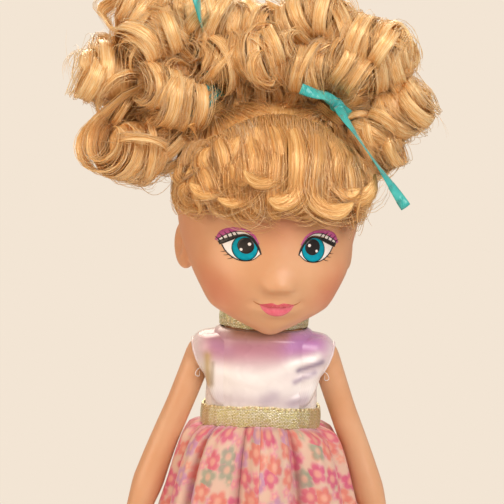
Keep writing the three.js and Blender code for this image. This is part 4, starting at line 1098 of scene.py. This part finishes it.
def ribbonStrip(points, facing, width, twist=0.0, steps=40):
    line = smoothLine(points, steps + 1)
    tangent = unit(np.gradient(line, axis=0))
    across = unit(np.cross(tangent, facing))
    out = np.cross(across, tangent)

    def place(u, v):
        at = u * steps
        i = np.clip(at.astype(int), 0, steps)
        angle = (twist * np.sin(np.pi * u))[:, None]  # turns edge-on halfway
        way = across[i] * np.cos(angle) + out[i] * np.sin(angle)
        cup = out[i] * (0.35 * (1 - (2 * v[:, None] - 1) ** 2))  # satin cups a little across its width
        spot = line[i] + way * ((v[:, None] - 0.5) * width) + cup
        return spot.T
    length = np.linalg.norm(np.diff(line, axis=0), axis=1).sum()
    return sheetMesh(steps, 6, place, (length, width), thickness=ribbon["thickness"])


for side, key in ((-1, "right"), (1, "left")):
    at, axis = tieOf(side)
    front = unit(np.array([0, -1, 0]) - axis * (axis @ [0, -1, 0]))
    other = np.cross(axis, front)
    turn = np.linspace(0, 2 * math.pi, 33)[:-1, None]
    around = np.concatenate([turn, turn[:2]])
    spokes = front * np.cos(around) + other * np.sin(around)
    loops = [at + axis * (-0.9 + 0.62 * k) + spokes * 5.1 for k in range(4)]
    elastic = tubes(loops, [np.full(len(around), 0.42)] * 4, 6)
    placePiece(key + "_elastic_turns", elastic, elasticYarn, "head", "elastic", key + "_hair_elastic")
    wrapMid = at + axis * (ribbon["lift"] + ribbon["width"] / 2)
    knotAt = wrapMid + front * (ribbon["wrap"] + 0.9)

    def wrapPlace(u, v):
        a = 2 * np.pi * u[:, None]
        pucker = ribbon["wrap"] + 0.14 * np.cos(9 * a) + 0.3 * (1 - (2 * v[:, None] - 1) ** 2)
        return (wrapMid + axis * ((v[:, None] - 0.5) * ribbon["width"])
                + (front * np.cos(a) + other * np.sin(a)) * pucker).T
    wrap = sheetMesh(64, 6, wrapPlace, (39, ribbon["width"]), closed=True, thickness=ribbon["thickness"])
    bm = ball(4)
    for vert in bm.verts:  # knot with pulled creases
        crease = 1 + 0.09 * math.sin(vert.co.z * 10 + vert.co.x * 3)
        local = np.array(vert.co[:]) * np.array([2.3, 1.3, 2.0]) * crease
        vert.co = Vector(knotAt + other * local[0] + front * local[1] + axis * local[2]) * mm
    bm.loops.layers.uv.new("cloth")
    knot = meshFrom(bm)
    tails = [ribbonStrip([knotAt + np.array(p) for p in points], front, ribbon["width"], twist)
             for points, twist in zip(ribbon[key], (1.45 * side, -0.7 * side))]
    placePiece(key + "_bow", joined([wrap, knot, *tails]), ribbonSatin, "head", "ribbon", key + "_ribbon")
print("elastics and ribbons")

# limbs, each one moulding with its plug
arm = {"shoulder": 19.0, "height": 118.0, "splay": 20.0, "length": 55.0, "palm": 9.0, "finger": 7.5,
       "face": 15.85, "plug": 2.25, "voxel": 0.42}
for side, body in ((1, "left_arm"), (-1, "right_arm")):
    lean = math.radians(arm["splay"])
    wrist, palm, finger = arm["length"], arm["palm"], arm["finger"]

    def along(d, x=0.0, y=0.0):  # d mm down the arm, x out and y back from its middle
        return (side * (arm["shoulder"] + d * math.sin(lean) + x * math.cos(lean)), y,
                arm["height"] - d * math.cos(lean) + x * math.sin(lean))
    stations = [0, wrist * 0.3, wrist * 0.52, wrist * 0.78, wrist, wrist + 3]
    bows = [(0, 0), (0, 0), (0.3, 0.6), (0, -0.8), (-0.6, -2.2), (-0.8, -2.6)]
    limb = smoothLine([along(d, *bow) for d, bow in zip(stations, bows)], 26)
    thick = np.interp(np.linspace(0, wrist + 3, 26), stations, [4.3, 4.1, 4.25, 4.8, 3.4, 3.1])
    bm = ball(5, mm)
    bmesh.ops.scale(bm, vec=(4.1, 5.2, 4.9), verts=bm.verts)
    bmesh.ops.translate(bm, vec=Vector(along(0)) * mm, verts=bm.verts)
    root = sliced(bm, Vector((side * arm["face"], 0, arm["height"])) * mm, (side, 0, 0))
    hand = ballMesh(along(wrist + palm * 0.42, -0.9, -2.9), (2.2, 4.1, palm * 0.62),
                    Matrix.Rotation(side * -lean, 3, "Y"))
    parts = [tubes([limb], [thick], 24), root, hand]
    for y, share in ((-2.9, 0.8), (-0.97, 1.0), (0.97, 1.05), (2.9, 0.8)):
        line = smoothLine([along(wrist + palm * 0.5, -0.9, -2.9 + y * 0.8),
                           along(wrist + palm + finger * 0.35, -1.1, -3.1 + y),
                           along(wrist + palm + finger * share, -2.2, -3.3 + y)], 10)
        parts += [tubes([line], [np.linspace(1.2, 0.85, 10)], 10), ballMesh(line[-1], [0.86] * 3, detail=3)]
    thumb = smoothLine([along(wrist + 2, -1.2, -4), along(wrist + 5.5, -2.2, -7.2),
                        along(wrist + 9.5, -2.8, -8.4)], 10)
    parts += [tubes([thumb], [np.linspace(1.75, 1.0, 10)], 10), ballMesh(thumb[-1], (1, 1, 1), detail=3)]
    plug = smoothLine([(side * x, 0, arm["height"]) for x in (17.5, 14, 11.6)], 5)
    parts.append(tubes([plug], [np.full(5, arm["plug"])], 20))
    placePiece(body + "_moulding", moulded(parts, arm["voxel"], 4), armPlastic, body, "body_plastic", body)

leg = {"spread": 11.5, "hip": 74.0, "thigh": 7.45, "sole": 1.6, "plug": 2.25, "insole": 1.95,
       "voxel": 0.52, "shoeVoxel": 0.42}
for side, body in ((1, "left_leg"), (-1, "right_leg")):
    x, hip = side * leg["spread"], leg["hip"]
    ankle = leg["sole"] + 7.5
    limb = smoothLine([(x, 0, hip), (x, -0.3, 62), (x, -0.6, 46), (x, 0, 32), (x, 1, ankle + 9),
                       (x, 1.5, ankle - 3)], 28)
    thick = np.interp(limb[:, 2], [ankle - 3, ankle + 9, 24, 32, 43, 62, hip],
                      [4.5, 4.5, 5.5, 6.2, 5.95, 7.3, leg["thigh"]])
    foot = smoothLine([(x, 8, 5.8), (x, 5.5, 5.8), (x, 0, 5.8), (x, -7, 5.6), (x, -11.5, 5.2),
                       (x, -14, 4.8)], 16)
    wide = np.interp(foot[:, 1], [-14, -11.5, -7, 0, 5.5, 8], [2.4, 4.2, 4.8, 4.6, 4.1, 2.9])
    plug = smoothLine([(x, 0, hip), (x - side * 5, 0, hip), (side * 2.2, 0, hip)], 6)
    parts = [tubes([limb], [thick], 28), ballMesh((x, 0, hip), [leg["thigh"]] * 3, detail=5),
             tubes([foot], [wide], 20), tubes([plug], [np.full(6, leg["plug"])], 20)]
    bm = bmesh.new()
    bm.from_mesh(moulded(parts, leg["voxel"], 4))
    legMesh = sliced(bm, (0, 0, leg["insole"] * mm), (0, 0, 1))
    placePiece(body + "_moulding", legMesh, armPlastic, body, "body_plastic", body)
    shoeName = body.replace("leg", "shoe")
    bm = bmesh.new()
    bm.from_mesh(bpy.data.objects[shoeName].data)
    bmesh.ops.remove_doubles(bm, verts=bm.verts, dist=1e-6)
    shoe = moulded([meshFrom(bm)], leg["shoeVoxel"], 4)
    placePiece(shoeName + "_upper", shoe, shoePlastic, body, "shoe_plastic", shoeName)
for name, material in (("torso_front", torsoPlastic), ("torso_back", torsoPlastic),
                       ("neck_plug", plugPlastic)):
    bpy.data.objects[name].data.materials.clear()
    bpy.data.objects[name].data.materials.append(material)
print("limbs and torso")

# dress: bodice, shoulder caps, gold bands, closing tape and skirt
bodice = {
    "low": 100.7, "high": 127.0, "gap": 1.05, "depth": 0.8, "thickness": 0.5, "armhole": 6.5,
    # half width of the body by height
    "outline": [(98.0, 15.8), (105.6, 15.8), (110, 15.55), (116, 15.3), (120, 15.2), (124.4, 14.8),
                (126.0, 13.6), (127.0, 12.05)],
    # pulled folds on the front: from, to, half width, height
    "folds": [((17.5, 119.8), (7.3, 116.8), 1.2, 0.7), ((17, 116.6), (9.5, 112.4), 1.1, 0.7),
              ((13, 108.5), (8, 106.5), 1.1, 0.8), ((-16, 119), (-15, 108), 1.2, 0.8),
              ((-13.5, 114.6), (-2, 112), 2.0, 0.6), ((-2, 112), (6.2, 115.6), 2.0, 0.6)],
    # painted reflections, highlights and shade on the satin's front: from, to, half width, colour, strength
    "painted_light": [
        # lilac and pink painted reflections on the upper chest, and a painted shadow under the chin
        ((-14, 121.6), (14, 123.2), 6.2, "#C98DA3", 0.95), ((9, 123.8), (15, 124), 4.2, "#C38CD0", 0.85),
        ((-14, 122.8), (-11, 121.5), 2.5, "#BE8CBB", 0.5), ((-8, 126.6), (6, 126.2), 2.0, "#B98669", 0.75),
        # white painted highlight running across the chest in an S
        ((-17, 115.3), (-7.5, 113.2), 2.4, "#FFFFFF", 0.95),
        ((-7.5, 113.2), (1.3, 113), 2.8, "#FFFFFF", 0.95),
        ((1.3, 113), (8.9, 117.4), 2.2, "#FFFFFF", 0.95), ((8.9, 117.4), (16.1, 119.8), 1.5, "#FFFFFF", 0.95),
        # painted shade along the pulled folds by the left armhole
        ((10.6, 115.9), (17.5, 118.2), 0.9, "#8F819D", 0.85),
        ((9.6, 112.6), (15.4, 115.2), 0.9, "#AC9DB8", 0.75),
        # greyish lilac painted shade low on the front, and a white painted highlight at the left edge
        ((-13, 106.5), (13, 106), 2.6, "#C9BAC4", 0.6), ((1.5, 107), (3.5, 108.4), 2.2, "#B2A3BC", 0.5),
        ((9, 106), (13, 107.2), 1.8, "#B0A1BE", 0.5), ((14.8, 105.8), (15.6, 109), 1.0, "#FFFFFF", 0.9),
        # painted reflection of the gold trim at the right side, with a darker painted shaded edge
        ((-16.4, 119), (-16, 110.6), 1.3, "#C4A96C", 0.85),
        ((-14.7, 117), (-14.8, 110.5), 0.6, "#97805A", 0.6)],
}


def fromStroke(x, z, start, end):  # share along a stroke on the front, and distance from it
    (ax, az), (bx, bz) = start, end
    dx, dz = bx - ax, bz - az
    t = np.clip(((x - ax) * dx + (z - az) * dz) / (dx * dx + dz * dz), 0, 1)
    return t, np.hypot(x - ax - t * dx, z - az - t * dz)


# paints the satin's reflections, highlights and shade into a colour on the front of the cloth
def paintSatinLight(mesh):
    spots = np.array([v.co[:] for v in mesh.vertices]) / mm
    colour = np.ones((len(spots), 4))
    for start, end, wide, code, most in bodice["painted_light"]:
        t, off = fromStroke(spots[:, 0], spots[:, 2], start, end)
        share = most * np.exp(-(off / wide) ** 2) * np.clip((2 - spots[:, 1]) / 5, 0, 1)
        colour = colour * (1 - share[:, None]) + np.array(linear(code)) * share[:, None]
    mesh.attributes.new("painted_light", "FLOAT_COLOR", "POINT").data.foreach_set("color", colour.ravel())
    return mesh


def bodiceHalf(z):
    return ramp(z, bodice["outline"]) + bodice["gap"]


def bodicePanel(fromTurn, toTurn, columns):
    def place(u, v):
        turn = np.radians(fromTurn + (toTurn - fromTurn) * u)
        z = bodice["low"] + (bodice["high"] - bodice["low"]) * v
        half = bodiceHalf(z)
        # the chest is boxier than the waist
        square = 2 / np.interp(z, [100, 112, 122, bodice["high"]], [2.0, 2.6, 2.6, 2.1])
        x = half * np.sign(np.cos(turn)) * np.abs(np.cos(turn)) ** square
        y = half * bodice["depth"] * np.sign(np.sin(turn)) * np.abs(np.sin(turn)) ** square
        pucker = 0.05 * np.cos(34 * turn) * np.clip((109.5 - z) / 4, 0, 1)  # gathers caught in the band
        for start, end, wide, tall in bodice["folds"]:
            t, off = fromStroke(x, z, start, end)
            swell = tall * np.exp(-(off / wide) ** 2) * np.sin(np.pi * (0.12 + 0.76 * t))
            pucker = pucker + np.where(y < 0, swell, 0)
        grow = 1 + pucker / half
        return x * grow, y * grow, z
    mesh = sheetMesh(columns, 60, place, (abs(toTurn - fromTurn) * 0.26, 27))
    bm = bmesh.new()
    bm.from_mesh(mesh)
    doomed = []
    for face in bm.faces:
        middle = face.calc_center_median()
        off = math.hypot(middle.y, middle.z - arm["height"] * mm)
        if off < bodice["armhole"] * mm and abs(middle.x) > 0.008:
            doomed.append(face)
    bmesh.ops.delete(bm, geom=doomed, context="FACES")
    return thickened(meshFrom(bm), bodice["thickness"])


bodiceMeshes = {"bodice_front": bodicePanel(-180, 0, 150), "bodice_back_left": bodicePanel(1, 89.3, 76),
                "bodice_back_right": bodicePanel(90.7, 179, 76)}
bodiceTree = treeOf(joined(bodiceMeshes.values()))
for name, mesh in bodiceMeshes.items():
    # the panels carry the painted reflections, highlights and shade
    placePiece(name + "_panel", paintSatinLight(mesh), dressSatin, "torso", "satin", name)

# shoulder caps run on from the bodice over the arm root to the folded armhole hem
cap = {"columns": 72, "step": 1.2, "near": [(30, 14.4), (62, 10.8)], "proud": 0.06, "radius": 5.9,
       "reach": 142, "thickness": 0.4, "hem": 0.42,
       "edge": [(0, 21.5), (40, 21.3), (70, 20.8), (95, 19.8), (120, 18.5), (142, 17.3)],
       "rim": [(0, 4.3), (50, 5.1), (95, 5.8), (142, 6.0)],
       # a loose thread end, from this point of the hem on
       "threadAt": 67,
       "thread": [(0, 0, 0), (1.1, -0.6, -0.6), (1.6, -0.9, -2.2), (0.6, -0.7, -2.6), (0.4, -0.6, -1.0)]}


def bodiceFar(x, a):  # distance from the shoulder axis to the bodice, at x and angle a from the top
    far = []
    for px, pa in zip(x, a):
        way = Vector((0, -math.sin(pa), math.cos(pa)))
        axle = Vector((px, 0, arm["height"])) * mm
        hit = bodiceTree.ray_cast(axle + way * 0.03, -way)
        near = (hit[0] - axle).dot(way) / mm if hit[0] else 0
        far.append(near if near > 0 else cap["radius"])
    return np.array(far)


for side, key in ((1, "left"), (-1, "right")):
    count = cap["columns"] + 1
    turns = np.radians(np.linspace(-cap["reach"], cap["reach"], count))
    near, edgeAt, last = (ramp(np.degrees(np.abs(turns)), cap[name]) for name in ("near", "edge", "rim"))
    start = bodiceFar(side * near, turns) + cap["proud"]
    before = bodiceFar(side * (near - cap["step"]), turns) + cap["proud"]
    slope = np.clip((start - before) / cap["step"], -1.2, 0.2)

    def capPlace(u, v):
        x0, x1, a, h0, h1, fall = (np.interp(u * cap["columns"], range(count), values)
                                   for values in (near, edgeAt, turns, start, last, slope))
        run = x1 - x0
        r = h0 + (h1 - h0) * v**3 + fall * run * v * (1 - v) ** 2  # drops at the rim
        r = r - 0.3 * (1 - v) ** 8  # starts under the bodice cloth
        return side * (x0 + run * v), -r * np.sin(a), arm["height"] + r * np.cos(a)
    capMesh = sheetMesh(cap["columns"], 16, capPlace, (30, 10), thickness=cap["thickness"], turnOver=side < 0)
    hemSpots = capPlace(np.linspace(0, 1, count), np.full(count, 0.985))
    hemLine = np.stack(np.broadcast_arrays(*hemSpots), axis=1)
    hem = tubes([hemLine], [np.full(count, cap["hem"])], 8)
    end = hemLine[cap["threadAt"]]
    loose = smoothLine([end + [side * x, y, z] for x, y, z in cap["thread"]], 16)
    # the caps carry the same painted reflections, highlights and shade
    sleeveMesh = paintSatinLight(joined([capMesh, hem, tubes([loose], [0.12], 4)]))
    sleeve = placePiece(key + "_armhole_cap", sleeveMesh, dressSatin, "torso", "satin", key + "_armhole_hem")
    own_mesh(sleeve)

band = {"collarHalf": 13.15, "collarLow": 127.4, "collarHigh": 133.4, "waistHalf": 17.95, "waistLow": 99.1,
        "waistHigh": 105.3, "dip": 2.2}  # worn lower at the sides


def bandMesh(half, low, high, flare, thickness, dip=0.0):
    def place(u, v):
        turn = 2 * np.pi * u
        pucker = 0.12 * np.cos(26 * turn + 2 * np.sin(3 * turn))
        r = half + flare * (2 * v - 1) + pucker + 0.25 * np.sin(np.pi * v)
        ripple = 0.12 * np.sin(7 * turn) + 0.08 * np.sin(17 * turn)
        z = low + (high - low) * v + ripple - dip * np.cos(turn) ** 2
        return r * np.cos(turn), r * bodice["depth"] * np.sin(turn), z
    mesh = sheetMesh(220, 18, place, (2 * math.pi * half * 0.9, high - low), closed=True)
    return thickened(mesh, thickness,
                     ("BEVEL", {"width": 0.18 * mm, "segments": 2, "limit_method": "ANGLE"}))


collar = bandMesh(band["collarHalf"], band["collarLow"], band["collarHigh"], -0.15, 0.8)
placePiece("gold_collar", collar, collarLame, "torso", "gold_trim", "collar_band")
waist = bandMesh(band["waistHalf"], band["waistLow"], band["waistHigh"], -0.1, 0.75, band["dip"])
placePiece("gold_waistband", waist, bandLame, "torso", "gold_trim", "waistband")

tape = {"width": 5.0, "low": 106.6, "tall": 14.4, "proud": 0.5, "thickness": 0.6}


def tapePlace(u, v):
    x = tape["width"] * (u - 0.5)
    z = tape["low"] + tape["tall"] * v
    half = bodiceHalf(z) + tape["proud"]
    return -x, half * bodice["depth"] * np.sqrt(1 - (x / half) ** 2), z


tapeMesh = sheetMesh(20, 50, tapePlace, (tape["width"], 17), thickness=tape["thickness"])
placePiece("closure_tape", tapeMesh, tapeCloth, "torso", "tape", "back_closure_tape")
print("bodice")

skirt = {
    "top": 99.5, "length": 57.0, "topWidth": 18.6, "topDepth": 15.0, "hemWidth": 34.0, "hemDepth": 32.8,
    "folds": 10, "fold": (2.3, 3.2), "liningShort": 3.0, "liningBack": 1.5,
    # columns, rows, thickness
    "overlay": (240, 46, 0.22), "lining": (168, 30, 0.3),
}


def foldWave(turn):  # round puffs between sharp creases
    bend = 0.5 * np.sin(3 * turn + 0.6) + 0.3 * np.sin(5 * turn) + 0.8
    return 2 * np.abs(np.cos(skirt["folds"] / 2 * turn + bend)) ** 0.6 - 1


def skirtShape(turn, t, inner):
    swell = np.sqrt(np.clip(t, 0, 1))
    width = skirt["topWidth"] + (skirt["hemWidth"] - skirt["topWidth"]) * (0.68 * swell + 0.32 * t)
    depth = skirt["topDepth"] + (skirt["hemDepth"] - skirt["topDepth"]) * (0.7 * swell + 0.3 * t)
    main = foldWave(turn)
    soft = np.cos(9 * turn + 1.1 * np.sin(2 * turn) + 1.4)
    fine = np.cos(31 * turn + 1.3 * np.sin(5 * turn) + 1.5 * t) * (1 - 0.55 * t)
    tight = np.cos(53 * turn + 2 * np.sin(4 * turn)) * np.exp(-t * 9)
    amount = skirt["fold"][0] + (skirt["fold"][1] - skirt["fold"][0]) * swell
    amount = amount * np.clip(0.25 + t / 0.05, 0, 1)  # drawn flat where the band holds it
    tuck = 1.3 * np.exp(-40 * t)  # goes in under the band
    if inner:  # the lining keeps to the broad folds
        wave = amount * (0.6 * main + 0.3 * soft) - skirt["liningBack"] - 0.5 * amount
    else:
        wave = amount * (0.8 * main + 0.3 * soft + 0.12 * fine) + 0.2 * tight
    puff = 1.1 * np.sin(np.pi * np.clip(t * 1.6, 0, 1)) * (0.5 + 0.5 * main)
    press = 2.0 * np.exp(-(np.sin(turn) / 0.4) ** 2 - ((t - 0.3) / 0.25) ** 2)  # the arms hold it in
    return width + wave + puff - press - tuck, depth + wave + puff - tuck


def skirtHalf(side, inner):
    length = skirt["length"] - (skirt["liningShort"] if inner else 0)

    def place(u, v):
        turn = (u - 0.5) * math.pi + (0 if side > 0 else math.pi)
        t = 1 - v
        across, deep = skirtShape(turn, t * length / skirt["length"], inner)
        z = skirt["top"] - length * t + 0.5 * np.cos(skirt["folds"] * turn) * t
        z = z - band["dip"] * np.cos(turn) ** 2 * np.exp(-4 * t)
        return across * np.cos(turn), deep * np.sin(turn), z
    columns, rows, thickness = skirt["lining" if inner else "overlay"]
    mesh = sheetMesh(columns, rows, place, (108, length * 1.02), thickness=thickness)
    spots = np.array([v.co[:] for v in mesh.vertices]) / mm
    oval = np.interp(spots[:, 2], [42, 99], [1.04, 1.24])
    # how far into a crease each point lies, read by the painted shade in the creases
    crease = np.clip(-foldWave(np.arctan2(spots[:, 1] * oval, spots[:, 0])), 0, 1)
    mesh.attributes.new("crease", "FLOAT", "POINT").data.foreach_set("value", crease)
    return mesh


for side, key in ((1, "left"), (-1, "right")):
    overlay = placePiece("skirt_overlay_" + key, skirtHalf(side, False), organzaPrint, None, "organza",
                         "skirt_overlay")
    lining = placePiece("skirt_lining_" + key, skirtHalf(side, True), liningCloth, None, "lining",
                        "skirt_lining")
    for cloth, low in ((overlay, 0.057), (lining, 0.054)):
        start = Vector((0, -0.0204, 0.074))  # a point on the front of the cloth, which nothing here uses
        if cloth == lining:
            start = Vector((side * -0.0016, -0.0185, 0.0744))
        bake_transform(cloth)
print("skirt")
